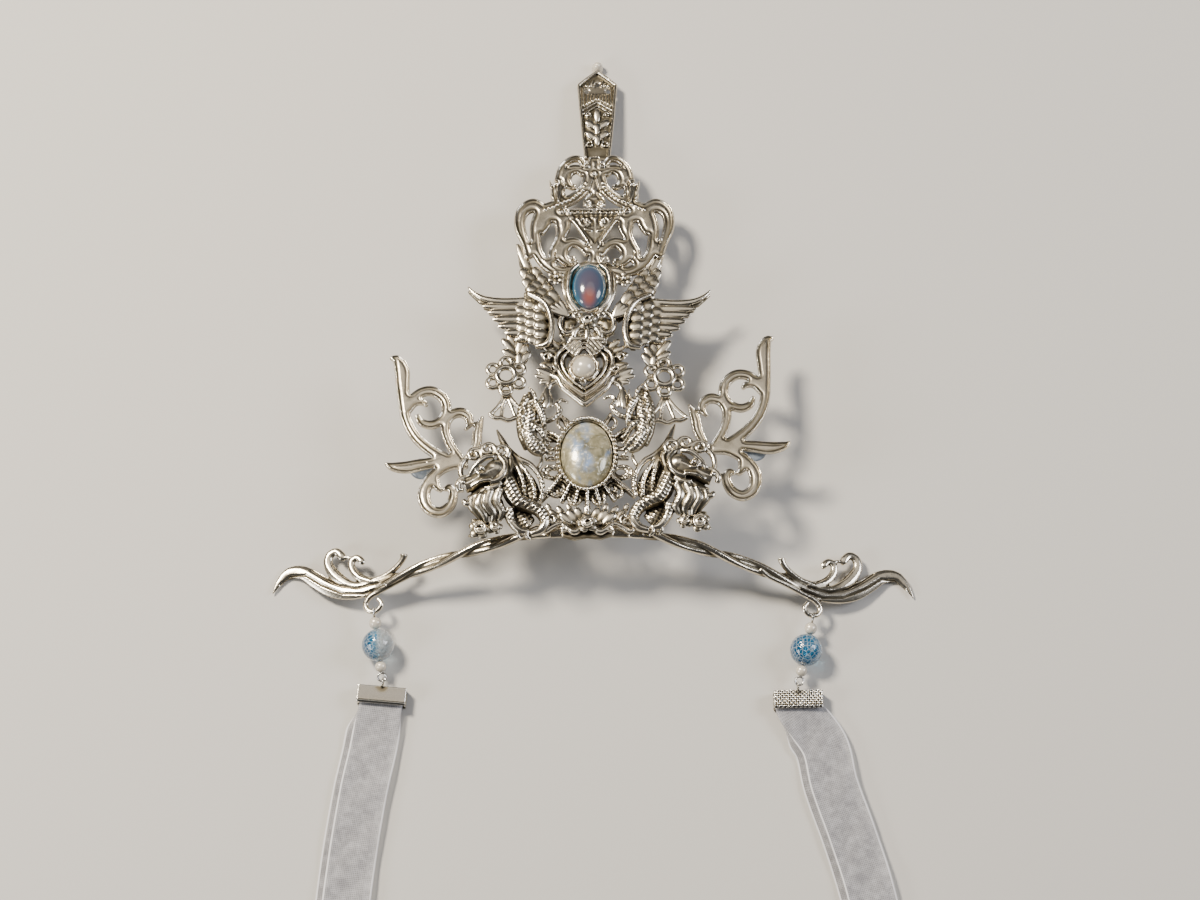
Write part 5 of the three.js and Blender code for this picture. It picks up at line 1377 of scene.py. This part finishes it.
    def upper_plumage(self) -> tuple[Strand, ...]:
        """The upper wing's long feather, its rows of short ones and its shell-like root."""
        body = Strand(((6.6, 67.4, 1.2, 2.0), (10, 71.4, 1.4, 2.8), (14, 76.4, 1.4, 2.6),
                       (17.6, 81.4, 1.4, 1.8)), 0.35)
        rows = (
            (15.6, 78.6, 21.2, 91.8, 1.35), (17.6, 79.4, 19.9, 83.6, 1.5),
            (13.8, 79, 16.2, 84, 1.5),
            (15.4, 77, 18, 81.6, 1.5), (16.6, 76.2, 19.2, 80, 1.5), (12.2, 76.4, 14.6, 81, 1.6),
            (13.6, 74.2, 16.2, 78.8, 1.6), (14.8, 73.4, 17.8, 77.2, 1.6),
            (10.6, 73.6, 13, 78.2, 1.6),
            (12, 71.6, 14.6, 76, 1.6), (13, 70.8, 16.4, 74.2, 1.6), (9, 71, 11.4, 75.4, 1.6),
            (10.2, 68.8, 13.2, 73.2, 1.7), (11, 68.2, 14.8, 71, 1.5))
        ribs = tuple((6.2, 66.6, 8.6 + 1.4 * i, 71.8 - 0.9 * i, 0.95) for i in range(4))
        return (body, *(plume(row, 1.2 + 0.2 * i, 0.3) for i, row in enumerate(rows)),
                *(plume(row, 4.1, 0.6) for row in ribs))

    def mid_plumage(self) -> tuple[Strand, ...]:
        """The middle wing's flight feathers, its rows of rounded coverts and its front edge."""
        flights = (
            (15.4, 61, 21.8, 60.4, 1.25), (15.6, 63, 24.6, 62.5, 1.3), (16, 65.1, 26.6, 64.6, 1.3),
            (16.4, 67.2, 28.2, 66.8, 1.3), (16.8, 69.2, 29.6, 69, 1.25), (17, 71, 31.2, 71, 1.2))
        long = Strand(((18, 73, 3.2, 0.9), (25.4, 72.6, 3.4, 1.1), (30.4, 73.4, 3.4, 0.95),
                       (33.4, 75.2, 3.4, 0.65),
                       (35.2, 77.2, 3.4, 0.3)), 0.6)
        outer = tuple((15.4, 61 + 2.7 * i, 20.4 + 0.3 * i, 61.4 + 2.85 * i, 1.65) for i in range(5))
        second = tuple((13.4, 59.6 + 2.8 * i, 18 + 0.2 * i, 60.2 + 2.9 * i, 1.65) for i in range(6))
        third = tuple((11.8, 58.6 + 2.8 * i, 15.6 + 0.1 * i, 59 + 2.9 * i, 1.6) for i in range(5))
        edge = Strand(((15.6, 57.6, 3.6, 0.7), (12.2, 58.2, 4.4, 0.9), (10.9, 62.4, 4.6, 0.9),
                       (11.4, 67.4, 4.6, 0.9),
                       (13.4, 71.6, 4.6, 0.9), (17.8, 74.6, 4.2, 0.8)))
        return (
            *(plume(row, 2.2 + 0.1 * i, 0.6) for i, row in enumerate(flights)), long,
            *(plume(row, 2.8, 0.34) for row in outer), *(plume(row, 3.2, 0.34) for row in second),
            *(plume(row, 3.6, 0.34) for row in third), edge)

    def sprig_leaves(self) -> tuple[Strand, ...]:
        """The sprig's leaves, from its tip down."""
        rows = (
            (21.6, 57.6, 21.6, 63.2, 1.0), (21.4, 57.6, 23.8, 62.8, 1.1),
            (20.7, 55.4, 19.6, 60.8, 1.15),
            (21.4, 55.6, 25.2, 60.4, 1.15), (20.6, 53.6, 17.8, 58.6, 1.15),
            (20.9, 54, 25.2, 56.6, 1.1),
            (20.3, 52, 17, 56, 1.15), (20.6, 51.6, 24.2, 54, 1.0), (20.2, 51.2, 20.4, 55.6, 0.9))
        return tuple(plume(row, 1.4 + 0.1 * i) for i, row in enumerate(rows))

    def dragon_strands(self) -> tuple[Strand, ...]:
        """The dragon: a scaly body on a coiled tail, its head, wing, crest and clawed legs."""
        return (
            Strand(((17.2, 43.6, 2.4, 0.6), (16.8, 40, 2.8, 1.4), (16.8, 36, 3, 1.9),
                    (17.2, 32, 3, 2.2),
                    (16.8, 28, 3, 2.3), (15.2, 25, 2.8, 1.7), (13, 24, 2.6, 1.0))),
            Strand(((16, 40.4, 3.6, 1.0), (14.6, 38.4, 4, 1.3), (13.6, 35.8, 4.1, 1.2),
                    (13, 33.2, 3.6, 0.9),
                    (12.8, 31.4, 3, 0.5))),
            Strand(((15.4, 38.8, 4.6, 0.5), (15.6, 42, 4.4, 0.5), (17.4, 45, 3, 0.25))),
            Strand(((14.4, 38.6, 4.6, 0.4), (13.2, 41, 4.2, 0.35), (13.4, 43, 3.2, 0.2))),
            Strand(((18, 42.6, 2.6, 0.9), (19.2, 38.4, 2.8, 1.2), (19.6, 34, 2.8, 1.3),
                    (19.2, 29.6, 2.8, 1.2),
                    (17.8, 25.4, 2.6, 0.9))),
            Strand(((17.6, 40.6, 4.2, 0.6), (18.6, 38.6, 4.2, 0.6), (18.2, 36.6, 4.4, 0.5))),
            Strand(((17.8, 36.4, 4.4, 0.6), (19, 34.4, 4.4, 0.6), (18.6, 32.2, 4.6, 0.5))),
            Strand(((17.8, 32, 4.6, 0.6), (18.8, 30, 4.4, 0.6), (18.2, 28, 4.4, 0.5))),
            Strand(((16.4, 32.6, 4, 1.2), (14, 30.8, 4, 1.0), (12.6, 28.6, 3.4, 0.8),
                    (11, 27.8, 2.8, 0.4))),
            Strand(((13, 29.2, 3.4, 0.5), (12.4, 27, 3, 0.4), (11.2, 26, 2.6, 0.25))),
            Strand(((16.4, 28.6, 4, 1.3), (13.8, 26.4, 3.6, 1.0), (12, 24.4, 3, 0.7),
                    (10.4, 24, 2.6, 0.3))),
            Strand(((13.2, 26, 3.4, 0.5), (12.2, 23, 2.8, 0.4), (11, 22.4, 2.4, 0.25))),
            Strand(((15, 34, 3, 0.9), (12, 34.2, 3, 0.85), (9.8, 35.4, 3, 0.8),
                    (8.4, 37.6, 2.8, 0.8),
                    (9.4, 39.6, 2.8, 0.7), (8, 41, 2.6, 0.6), (6, 40.2, 2.4, 0.4))),
        )

    def horse_strands(self) -> tuple[Strand, ...]:
        """The winged horse: its head, locks, mane, beard, neck, chest, legs and wing."""
        return (
            Strand(((24.8, 17.8, 5, 2.9), (27.4, 16.6, 5.4, 3.0), (30.4, 14.8, 5.6, 2.5),
                    (33, 13.2, 5.6, 2.2),
                    (35, 12.4, 5.4, 2.1))),
            Strand(((25.2, 14, 4.8, 2.2), (28.6, 11.8, 4.8, 1.9), (31.4, 9.8, 4.6, 1.7),
                    (33.6, 8.6, 4.4, 1.5))),
            Strand(((33.2, 14.8, 6.8, 0.6), (35.6, 14.4, 6.8, 0.8), (36.9, 12.4, 6.6, 0.9),
                    (36.4, 10.6, 6.2, 0.8))),
            Strand(((32.6, 8, 5.2, 0.7), (34.4, 7.2, 5.2, 0.9), (35.4, 8.4, 5.2, 0.7))),
            Strand(((26.8, 20.6, 8, 0.7), (29.6, 19.8, 8.4, 0.85), (32.2, 17.4, 8, 0.75),
                    (33.8, 14.8, 7.4, 0.5))),
            Strand(((29, 15.4, 8, 0.35), (30.8, 15.2, 8.2, 0.4), (32, 16.4, 8, 0.35))),
            Strand(((27.4, 13.8, 7.4, 0.6), (30.4, 13.2, 7.6, 0.6), (33, 11.8, 7, 0.5))),
            Strand(((31.4, 21.6, 5, 0.8), (33.8, 22, 5.2, 0.9), (35.8, 19.8, 5.2, 0.9),
                    (36.2, 16.8, 5.2, 0.8),
                    (35.2, 14.4, 5.4, 0.7))),
            curl(32.4, 22, 5.8, 2.3, 0.8, 200, -1.3), curl(28.6, 23.6, 5.8, 2.3, 0.85, 220, -1.3),
            curl(24.8, 23, 5.8, 2.3, 0.85, 230, -1.2),
            Strand(((24.2, 24, 4.6, 0.8), (22.2, 21, 5, 1.0), (22.4, 17.6, 5.2, 1.0),
                    (23.8, 14.6, 5.4, 0.9),
                    (22.8, 11.6, 5, 0.7))),
            Strand(((25.6, 21.4, 6.6, 0.8), (23.8, 19, 7, 0.9), (23.8, 16, 7.2, 0.9),
                    (25.4, 14, 7.2, 0.8),
                    (27.8, 13, 7.2, 0.6))),
            Strand(((24.6, 13.2, 6.2, 0.9), (26.8, 11.8, 6.4, 0.9), (29.4, 11.6, 6.4, 0.6))),
            Strand(((32.8, 9.4, 5, 1.1), (33, 6.8, 4.8, 1.2), (31, 4.4, 4, 1.0),
                    (30.4, 2.6, 3.2, 0.6))),
            Strand(((30.2, 10, 5.8, 1.2), (31, 7, 5.4, 1.3), (29.4, 4.2, 4.6, 1.1),
                    (28.8, 2.2, 3.6, 0.6))),
            Strand(((27.6, 11, 6, 1.3), (28.6, 7.6, 5.6, 1.4), (26.8, 4.6, 4.6, 1.2),
                    (27.2, 2.4, 3.6, 0.6))),
            Strand(((25, 11.8, 5.6, 1.3), (26, 8.2, 5.2, 1.4), (24.4, 5.2, 4.4, 1.2),
                    (25.4, 2.8, 3.4, 0.7))),
            Strand(((31.6, 8.6, 6, 0.5), (31.6, 6.4, 5.8, 0.6), (29.8, 4, 4.8, 0.4))),
            Strand(((29, 9.8, 6.8, 0.5), (29.4, 6.8, 6.2, 0.6), (27.6, 4, 5.2, 0.4))),
            Strand(((24.6, 17, 4, 3.0), (22.4, 12.6, 3.8, 2.8), (20.4, 9, 3.6, 2.5),
                    (17, 7.6, 3.2, 2.1),
                    (14, 6, 3, 1.9), (12.4, 3, 2.8, 1.6), (13.6, 0.4, 2.6, 1.3),
                    (16.4, -0.8, 2.6, 0.9))),
            Strand(((22.8, 6.4, 3.6, 1.8), (21.8, 2.8, 3.2, 1.4), (19.6, 0.2, 3, 1.2),
                    (17.2, -0.4, 2.8, 1.0))),
            Strand(((19.4, 0.4, 3.2, 0.7), (20, -1.4, 3, 0.6), (19, -2.4, 2.6, 0.35))),
            Strand(((17.4, 0.2, 3.2, 0.7), (17.4, -1.8, 3, 0.6), (16.2, -2.6, 2.6, 0.35))),
            Strand(((26.3, 31.4, 3, 0.3), (24.8, 28, 3.4, 0.9), (23.2, 24.8, 3.8, 1.1),
                    (20.2, 22, 3.8, 1.0),
                    (16.6, 20, 3.8, 0.9), (14.2, 16.8, 3.6, 0.85), (13.2, 13.2, 3.4, 0.8),
                    (13.6, 9.6, 3.2, 0.7))),
            Strand(((23.4, 24.6, 4, 0.7), (20.6, 19.6, 4, 0.8), (18.8, 15, 3.8, 0.8),
                    (18.2, 10, 3.6, 0.7))),
            Strand(((20.8, 21.6, 4, 0.6), (17.6, 17.4, 4, 0.7), (15.8, 13.4, 3.8, 0.7),
                    (15.4, 9.4, 3.6, 0.6))),
            Strand(((21, 20, 2, 1.6), (18.4, 16, 2, 2.8), (16.6, 12, 2, 2.8), (16.4, 9, 2, 1.8)),
                   0.4),
            Strand(((21.4, 7, 1.6, 2.2), (18.6, 4, 1.4, 3.0), (16.4, 2.4, 1.4, 2.2)), 0.35),
            Strand(((24, 8, 2.4, 2.4), (28, 7, 2.4, 2.6), (31, 6.4, 2.2, 1.8)), 0.4),
            Strand(((14.6, 19, 3, 0.6), (13.6, 21.6, 2.8, 0.6), (13.8, 24.4, 2.4, 0.3))),
        )

    def horse_knobs(self) -> tuple[Knob, ...]:
        """The horse's cheek, eye and nostril."""
        return (Knob(26.2, 17.6, 6.1, 2.8, (1.1, 1.0, 0.8)), Knob(30.2, 17, 7.8, 0.9),
                Knob(35.4, 13, 7.2, 0.7))


# ---------------------------------------------------------------- stones and beads


@dataclass
class Cabochon:
    """A domed oval stone on the plate, with a rounded girdle."""

    node: str
    x: float
    v: float
    half: tuple[float, float]
    low: float
    rise: float
    seat: Seat
    slot: str
    girdle: float = 0.35

    def centre(self, plate: Matrix) -> Vector:
        """The middle of its base in the frame."""
        return plate @ self.seat.matrix() @ Vector((self.x, self.v, self.low))

    def build(self, plate: Matrix, material: bpy.types.Material) -> bpy.types.Object:
        """Builds the stone: the upper half of a ball, stretched to its oval, its foot bevelled.

        Args:
            plate: from plate places to the frame.
            material: its finish.

        Returns:
            The piece.
        """
        deselect()
        bpy.ops.mesh.primitive_uv_sphere_add(segments=72, ring_count=48, radius=1)
        piece = bpy.context.object
        piece.name = f"{self.node}_dome"
        bpy.ops.object.mode_set(mode="EDIT")
        bpy.ops.mesh.select_all(action="SELECT")
        bpy.ops.mesh.bisect(plane_co=(0, 0, 0), plane_no=(0, 0, 1), use_fill=True, clear_inner=True)
        bpy.ops.object.mode_set(mode="OBJECT")
        stretch = Matrix.Diagonal((self.half[0], self.half[1], self.rise, 1))
        local = Matrix.Translation((self.x, self.v, self.low)) @ stretch
        piece.data.transform(plate @ self.seat.matrix() @ local)
        if self.seat.sign < 0:
            piece.data.flip_normals()
        modify(piece, "BEVEL", width=self.girdle * MM, segments=3, limit_method="ANGLE",
               angle_limit=math.radians(60))
        return dress(piece, material, self.slot, self.node)


@dataclass
class Bead:
    """A drilled round bead on a drop."""

    node: str
    radius: float
    slot: str
    bore: float = 0.55

    def centre(self) -> Vector:
        """The bead's middle in the frame."""
        low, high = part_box(self.node)
        return (low + high) / 2

    def build(self, along: Vector, material: bpy.types.Material) -> bpy.types.Object:
        """Builds the bead: a ball whose poles are opened and joined by a tunnel.

        Args:
            along: the direction of its bore.
            material: its finish.

        Returns:
            The piece.
        """
        deselect()
        bpy.ops.mesh.primitive_uv_sphere_add(segments=48, ring_count=40, radius=self.radius * MM)
        piece = bpy.context.object
        piece.name = f"{self.node}_round"
        level = math.sqrt(self.radius**2 - self.bore**2) * MM
        bpy.ops.object.mode_set(mode="EDIT")
        for sign in (-1, 1):
            bpy.ops.mesh.select_all(action="SELECT")
            bpy.ops.mesh.bisect(plane_co=(0, 0, sign * level), plane_no=(0, 0, sign),
                                clear_outer=True)
        bpy.ops.mesh.select_all(action="DESELECT")
        bpy.ops.mesh.select_non_manifold()
        bpy.ops.mesh.bridge_edge_loops()
        bpy.ops.mesh.select_all(action="SELECT")
        bpy.ops.mesh.normals_make_consistent(inside=False)
        bpy.ops.object.mode_set(mode="OBJECT")
        turn = along.to_track_quat("Z", "Y").to_matrix().to_4x4()
        piece.data.transform(Matrix.Translation(self.centre()) @ turn)
        return dress(piece, material, self.slot, self.node)


# ---------------------------------------------------------------- drops and streamers


@dataclass
class OrganzaLayer:
    """One layer of a streamer: a sheer strip that leaves its clamp and lies on the surface.

    `leaves_clamp` and `settles_over` are shares of its length. `gather` is how much narrower it is
    in the clamp, `rise` how far its middle line is over its height, and `edge_curl` how far its
    edges lift.
    """

    node: str
    route: Rows
    aside: float
    clamp_height: float
    height: float
    slant: float
    phase: float
    width: float = 13.4
    gather: float = 1.2
    cloth: float = 0.16
    rise: float = 0.4
    leaves_clamp: float = 0.068
    settles_over: float = 0.102
    edge_curl: float = 0.34

    def line(self, steps: int) -> tuple[np.ndarray, np.ndarray, float]:
        """The middle line.

        Args:
            steps: how many equal steps to cut it in.

        Returns:
            Places and directions at the steps, in the surface, and the line's length.
        """
        fine = np.array(flow(self.route, 40))
        walked = np.concatenate([[0], np.cumsum(np.hypot(*np.diff(fine, axis=0).T))])
        at = np.linspace(0, walked[-1], steps + 1)
        middle = np.stack([np.interp(at, walked, fine[:, i]) for i in (0, 1)], axis=1)
        course = np.gradient(middle, axis=0)
        return middle, course / np.hypot(*course.T)[:, None], float(walked[-1])

    def build(self, surface: Matrix, material: bpy.types.Material,
              under: list[str]) -> bpy.types.Object:
        """Builds the strip from a grid.

        Args:
            surface: from surface places in millimetres to the frame.
            material: its finish.
            under: what it lies on; not used.

        Returns:
            The piece.
        """
        columns, steps = 24, 130
        deselect()
        bpy.ops.mesh.primitive_grid_add(x_subdivisions=columns, y_subdivisions=steps, size=1)
        piece = bpy.context.object
        piece.name = f"{self.node}_cloth"
        mesh = piece.data
        middle, course, length = self.line(steps)
        flat = places(mesh)
        row = np.rint((flat[:, 1] + 0.5) * steps).astype(int)
        share = row / steps
        ease = np.clip((share - self.leaves_clamp) / self.settles_over, 0, 1)
        drop = ease**2 * (3 - 2 * ease)
        across = flat[:, 0] * (self.width - self.gather * (1 - drop))
        along = course[row]
        side = np.stack([-along[:, 1], along[:, 0]], axis=1)
        end = (row == steps) * self.slant * across
        place = middle[row] + side * (across + self.aside * drop)[:, None] + along * end[:, None]
        low = self.clamp_height + (self.height - self.clamp_height) * drop
        s = share * length
        wave = (0.16 * np.sin(s / 5.2 + self.phase)
                + 0.12 * np.sin(s / 2.7 + across * 0.5 + self.phase))
        lift = self.edge_curl * (np.abs(across) / (self.width / 2)) ** 4
        high = low + self.rise + (wave * (0.3 + 0.7 * drop) + lift * drop)
        put_places(mesh, moved(np.column_stack([place, high]), surface))
        cut = mesh.uv_layers[0]
        cut.name = "cut"
        for loop, spot in zip(mesh.loops, cut.data):
            spot.uv = (across[loop.vertex_index], s[loop.vertex_index])
        modify(piece, "SOLIDIFY", thickness=self.cloth * MM, offset=0.0)
        dress(piece, material, "organza", self.node)
        return piece


@dataclass
class BeadDrop:
    """One side's drop: an eye pin with its beads, a clamp, and a streamer of two layers."""

    side: str
    fold: tuple[float, float]
    turn: float
    route: Rows
    knurl: float
    tint: tuple[float, float]

    def clamp_place(self, surface: Matrix) -> Matrix:
        """From the clamp's own places to the frame."""
        turn = Matrix.Rotation(math.radians(self.turn), 4, "Z")
        return surface @ (Matrix.Translation((*self.fold, 0)) @ turn)

    def build(self, surface: Matrix) -> None:
        """Builds and dresses every piece of the drop."""
        # The pin and the clamp use the antiqued finish; on them its dark recess colour is painted
        # shade.
        steel = AntiqueSilver(f"nickel_wire_{self.side}", bright="#dcdcdc", body="#b9b9b8",
                              recess="#4a4a4a")
        metal = steel.build()
        pin = Casting(f"eye_pin_{self.side}", voxel=0.1, slot="steel", swell=0.0, melt=6)
        pin.build(surface, metal)
        upper = Bead(f"upper_pearl_{self.side}", 1.75, "pearl")
        lower = Bead(f"lower_pearl_{self.side}", 1.6, "pearl")
        ball = Bead(f"crackle_bead_{self.side}", 4.6, "crackle", 0.6)
        along = (lower.centre() - upper.centre()).normalized()
        pearl = Pearl(f"drop_pearl_{self.side}").build()
        upper.build(along, pearl)
        lower.build(along, pearl)
        ball.build(along, CrackleGlass(f"crackle_glass_{self.side}", ball.centre(), 4.6,
                                       *self.tint).build())
        place = self.clamp_place(surface)
        features: tuple[Feature, ...] = (Ridge(((-6.6, -4.5), (6.6, -4.5)), 0.35, 0.22),)
        if self.knurl:
            features += (Knurl(1.25, self.knurl),)
        clamp = Casting(f"ribbon_clamp_{self.side}", voxel=0.16,
                        slot="dark_silver", features=features, swell=0.0, melt=4)
        nickel = AntiqueSilver(f"crimp_nickel_{self.side}", bright="#e6e2d8", body="#b3aea4",
                               recess="#35322e")
        clamp.build(place, nickel.build())
        start = [surface.inverted() @ place @ Vector((0, y, 0)) for y in (-0.8, -5.1)]
        route = tuple((p.x, p.y) for p in start) + self.route
        cloth = Organza(f"organza_{self.side}").build()
        back = OrganzaLayer(f"ribbon_back_{self.side}", route, -2, 0.8, 0, 0.3, 0.6)
        front = OrganzaLayer(f"ribbon_front_{self.side}", route, 0, 2.1, 1.3, -0.25, 2.1)
        under = back.build(surface, cloth, ["floor"])
        front.build(surface, cloth, [under.name])


DROPS = (
    BeadDrop("left", (-58.243, -47.085), -5,
             ((-60.5, -64.4), (-63.1, -77.6), (-65.7, -95.5), (-67.4, -111.5), (-68.6, -124)), 0.0,
             (0.85, 0.56)),
    BeadDrop("right", (58.62, -48.264), 1,
             ((65.7, -63.3), (68.3, -74.8), (72.8, -88.3), (76.7, -101.2), (80.6, -118)), 0.3,
             (0.25, 0.25)),
)


# ---------------------------------------------------------------- the headband


@dataclass
class Headband:
    """The arched band: twisted strands, leafy ends with engraved veins, and a hooked loop at each.

    `twist` gives where the strands start and how far they run, and `swing` how far they swing
    across and in height.
    """

    end: float = 92.0
    end_height: float = 0.7
    mid_height: float = 20.0
    line: Rows = ((0, -5.6), (15, -6.5), (31, -9.9), (43, -13), (57, -17.2), (63, -19.4))
    turns: float = 1.5
    twist: tuple[float, float] = (11, 50)
    swing: tuple[float, float] = (1.25, 0.5)

    def height(self, x: float) -> float:
        """Height of the band's middle line over the surface."""
        share = min(abs(x) / self.end, 1)
        arch = 0.5 + 0.5 * math.cos(math.pi * share)
        return self.end_height + (self.mid_height - self.end_height) * arch

    def strand(self, sign: int, phase: float) -> Strand:
        """One of the two strands that twist between the bar and a leafy end."""
        steps = 26
        xs, ys = zip(*self.line)
        rows = []
        for i in range(steps + 1):
            share = i / steps
            x = self.twist[0] + self.twist[1] * share
            y = float(np.interp(x, xs, ys))
            turn = phase + 2 * math.pi * self.turns * share
            thick = 0.75 + 0.4 * abs(math.sin(turn))
            rows.append((sign * x, y + self.swing[0] * math.cos(turn),
                         self.height(x) + self.swing[1] * math.sin(turn), thick))
        return Strand(tuple(rows))

    def bent(self, sign: int) -> tuple[float, float]:
        """How much wider and lower an end was bent: only the right one was."""
        return (1.8, 1.2) if sign > 0 else (0, 0)

    def veins(self) -> tuple[Feature, ...]:
        """The engraved lines of the leafy ends."""
        lines = (
            ((58, -18.6), (64, -20.6), (70, -20.2), (76, -17.4), (81, -14.2), (85, -14.4),
             (88, -16.8)),
            ((60, -17.6), (66, -18.8), (71, -17.6), (75.6, -15), (79, -12.6)),
            ((66, -16.6), (70.6, -14.4), (73, -11.4), (73, -9)),
            ((62, -16.4), (65.2, -14.6), (66.6, -12), (66.4, -10.6)),
        )
        made = []
        for rows in lines:
            for sign in (-1, 1):
                wide, low = self.bent(sign)
                made.append(Ridge(tuple((sign * (x + wide), v - low) for x, v in rows), 0.4, -0.35))
        return tuple(made)

    def leaves(self, sign: int) -> tuple[Strand, ...]:
        """One end's polished leaf, linked curls, tendril and hooked loop."""
        wide, low = self.bent(sign)
        rows = (
            ((55, -16.4, 1.2), (59.4, -18.4, 1.5), (63.6, -19.7, 1.8), (68.4, -19.8, 2.2),
             (73.2, -18.4, 2.6),
             (77.5, -15.8, 2.5), (81.6, -13.2, 2.1), (85.6, -13.2, 1.7), (88.4, -16, 1.1),
             (90.3, -19.4, 0.3)),
            ((61.6, -18.2, 1.2), (67.4, -18, 1.6), (71.6, -15.2, 1.8), (74.3, -11.6, 1.5),
             (74.2, -8.6, 1.3),
             (72.2, -7.4, 1.2), (70.6, -9.0, 1.3), (70.9, -10, 1.0)),
            ((59.6, -17.4, 1.1), (64.6, -16, 1.3), (67.2, -13.4, 1.2), (67.7, -10.8, 1.1),
             (66.2, -9.6, 1.0),
             (64.8, -10.8, 1.1), (65.1, -11.6, 0.8)),
            ((61.6, -16.8, 0.9), (57.8, -15.6, 0.9), (54.4, -13.1, 0.9), (52.8, -11, 1.0),
             (52.6, -9.8, 1.3)),
            ((70.2, -9.2, 0.5), (67.4, -9.6, 0.5)),
            ((46.4, -13.6, 0.6), (49, -15.6, 0.7), (53.6, -17.4, 0.75), (58.4, -19.6, 0.8),
             (62, -21.4, 0.85),
             (63.4, -23.7, 0.85), (62.4, -25.6, 0.8), (60.2, -25.8, 0.75), (58.8, -23.9, 0.7),
             (60, -22, 0.6)),
        )
        made = []
        for row, flat in zip(rows, (0.4, 0.55, 0.6, 0.8, 1, 0.85)):
            made.append(Strand(tuple((sign * (x + wide), y - low, self.height(x), half) for x, y,
                                     half in row), flat))
        return tuple(made)

    def build(self, surface: Matrix, material: bpy.types.Material) -> bpy.types.Object:
        """Builds and dresses the band."""
        strands = tuple(self.strand(sign, phase) for sign in (-1, 1) for phase in (0.0, math.pi))
        core = tuple(
            Strand(tuple((sign * x, float(np.interp(x, *zip(*self.line))), self.height(x), 0.8)
                         for x in range(12, 62, 4))) for sign in (-1, 1))
        bar = (Strand(((-15, -6.2, 18.75, 2.2), (0, -5.8, 18.75, 2.2), (15, -6.2, 18.75, 2.2)),
                      0.5),)
        band = Casting("headband", voxel=0.22, on_solid=False, features=self.veins(),
                       strands=strands + core + bar + self.leaves(-1) + self.leaves(1))
        return band.build(surface, material)


# ---------------------------------------------------------------- the studio


@dataclass
class Studio:
    """The camera, lights and floor round the crown."""

    elevation: float = 71.5
    lens: float = 100.0
    view_width: float = 342.9
    aim: Row = (2.1, 13.4, 10.0)
    floor_reach: float = 6.0

    def camera(self) -> None:
        """Adds the camera: it looks down at the crown from its foot."""
        tilt = math.radians(self.elevation)
        across, up, height = (c * MM for c in self.aim)
        target = Vector((across, (up - height * math.cos(tilt)) / math.sin(tilt), height))
        lens = bpy.data.cameras.new("camera")
        lens.lens = self.lens
        lens.sensor_width = 36.0
        away = self.view_width * MM * self.lens / lens.sensor_width
        camera = bpy.data.objects.new("camera", lens)
        camera.location = target + away * Vector((0, -math.cos(tilt), math.sin(tilt)))
        camera.rotation_euler = (math.pi / 2 - tilt, 0, 0)
        bpy.context.scene.collection.objects.link(camera)
        bpy.context.scene.camera = camera

    def light(self, name: str, place: Row, size: float, power: float, colour: str) -> None:
        """Adds a soft round light that faces the crown.

        Args:
            name: its name.
            place: where it stands, in metres.
            size: its diameter, in metres.
            power: in watts.
            colour: hex colour of its light.
        """
        data = bpy.data.lights.new(name, "AREA")
        data.shape = "DISK"
        data.size = size
        data.energy = power
        data.color = linear(colour)[:3]
        lamp = bpy.data.objects.new(name, data)
        lamp.location = place
        facing = Vector(place) - Vector((0, 0.02, 0))
        lamp.rotation_euler = facing.to_track_quat("Z", "Y").to_euler()
        bpy.context.scene.collection.objects.link(lamp)

    def build(self) -> None:
        """Adds the floor, the lights and a dim grey surround."""
        deselect()
        bpy.ops.mesh.primitive_plane_add(size=self.floor_reach, location=(0, 0, -0.0002))
        floor = settle(bpy.context.object)
        floor.name = "floor"
        floor.data.materials.append(StudioFloor().build())
        self.light("key", (-0.5, 0.38, 0.78), 0.24, 18.0, "#fff4e2")
        self.light("overhead", (0.1, 0.34, 0.95), 0.7, 0.95, "#fff8ee")
        self.light("fill", (0.75, 0.1, 0.55), 0.4, 5.0, "#f2f5ff")
        self.light("rim", (-0.75, -0.35, 0.4), 0.3, 3.5, "#ffffff")
        world = bpy.data.worlds.new("surround")
        world.use_nodes = True
        world.node_tree.nodes["Background"].inputs["Color"].default_value = linear("#77787a")
        world.node_tree.nodes["Background"].inputs["Strength"].default_value = 0.3
        bpy.context.scene.world = world


# ---------------------------------------------------------------- main


def stones(plate: Matrix) -> list[tuple[Cabochon, bpy.types.Material]]:
    """The stones and pads with their finishes, from the finial down."""
    front, middle = Layer.FRONT.seat, Layer.MIDDLE.seat
    lean = Plate.lean
    opal = Cabochon("opal_stone", -0.2, 77.4, (4.9, 7.1), 3.9, 3.2, front, "opal")
    flash = Cabochon("moonstone", -0.8, 23.6, (7.4, 10.2), 2.5, 4.2, middle, "moonstone")
    pearl = Cabochon("pearl_stone", -1.7, 51.4, (3.4, 3.4), 2.4, 3.5, middle, "pearl")
    tip = Cabochon("finial_bead", 2.2, 153.2, (1.75, 1.75), -1.15, 3.5, Seat(), "pearl")
    coat = Pearl("set_pearl").build()
    made = [
        (opal, OpalResin("opal_resin", opal.centre(plate), opal.half, lean).build()),
        (flash, FlashStone("flash_stone", flash.centre(plate), flash.half, lean).build()),
        (pearl, coat), (tip, coat),
    ]
    glue = ClearGlue("clear_glue").build()
    for side in Side:
        seat = side.seat("side_scroll", Layer.BACK)
        made.append((Cabochon(f"clear_pad_{side.value}", 47.6, 20.8, (3.4, 3.3), -1.9, 1.6, seat,
                              "resin"), glue))
    return made


def main() -> None:
    """Builds the crown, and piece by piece."""
    logging.basicConfig(level=logging.INFO, format="%(name)s: %(message)s")
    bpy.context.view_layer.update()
    studio = Studio()
    studio.camera()
    plate = Plate().matrix()
    silver = AntiqueSilver("antique_silver").build()
    for casting in CastingSet().all():
        casting.build(plate, silver)
    surface = Plate().surface()
    Headband().build(surface, silver)
    for stone, finish in stones(plate):
        stone.build(plate, finish)
    for drop in DROPS:
        drop.build(surface)
    studio.build()


if __name__ == "__main__":
    main()
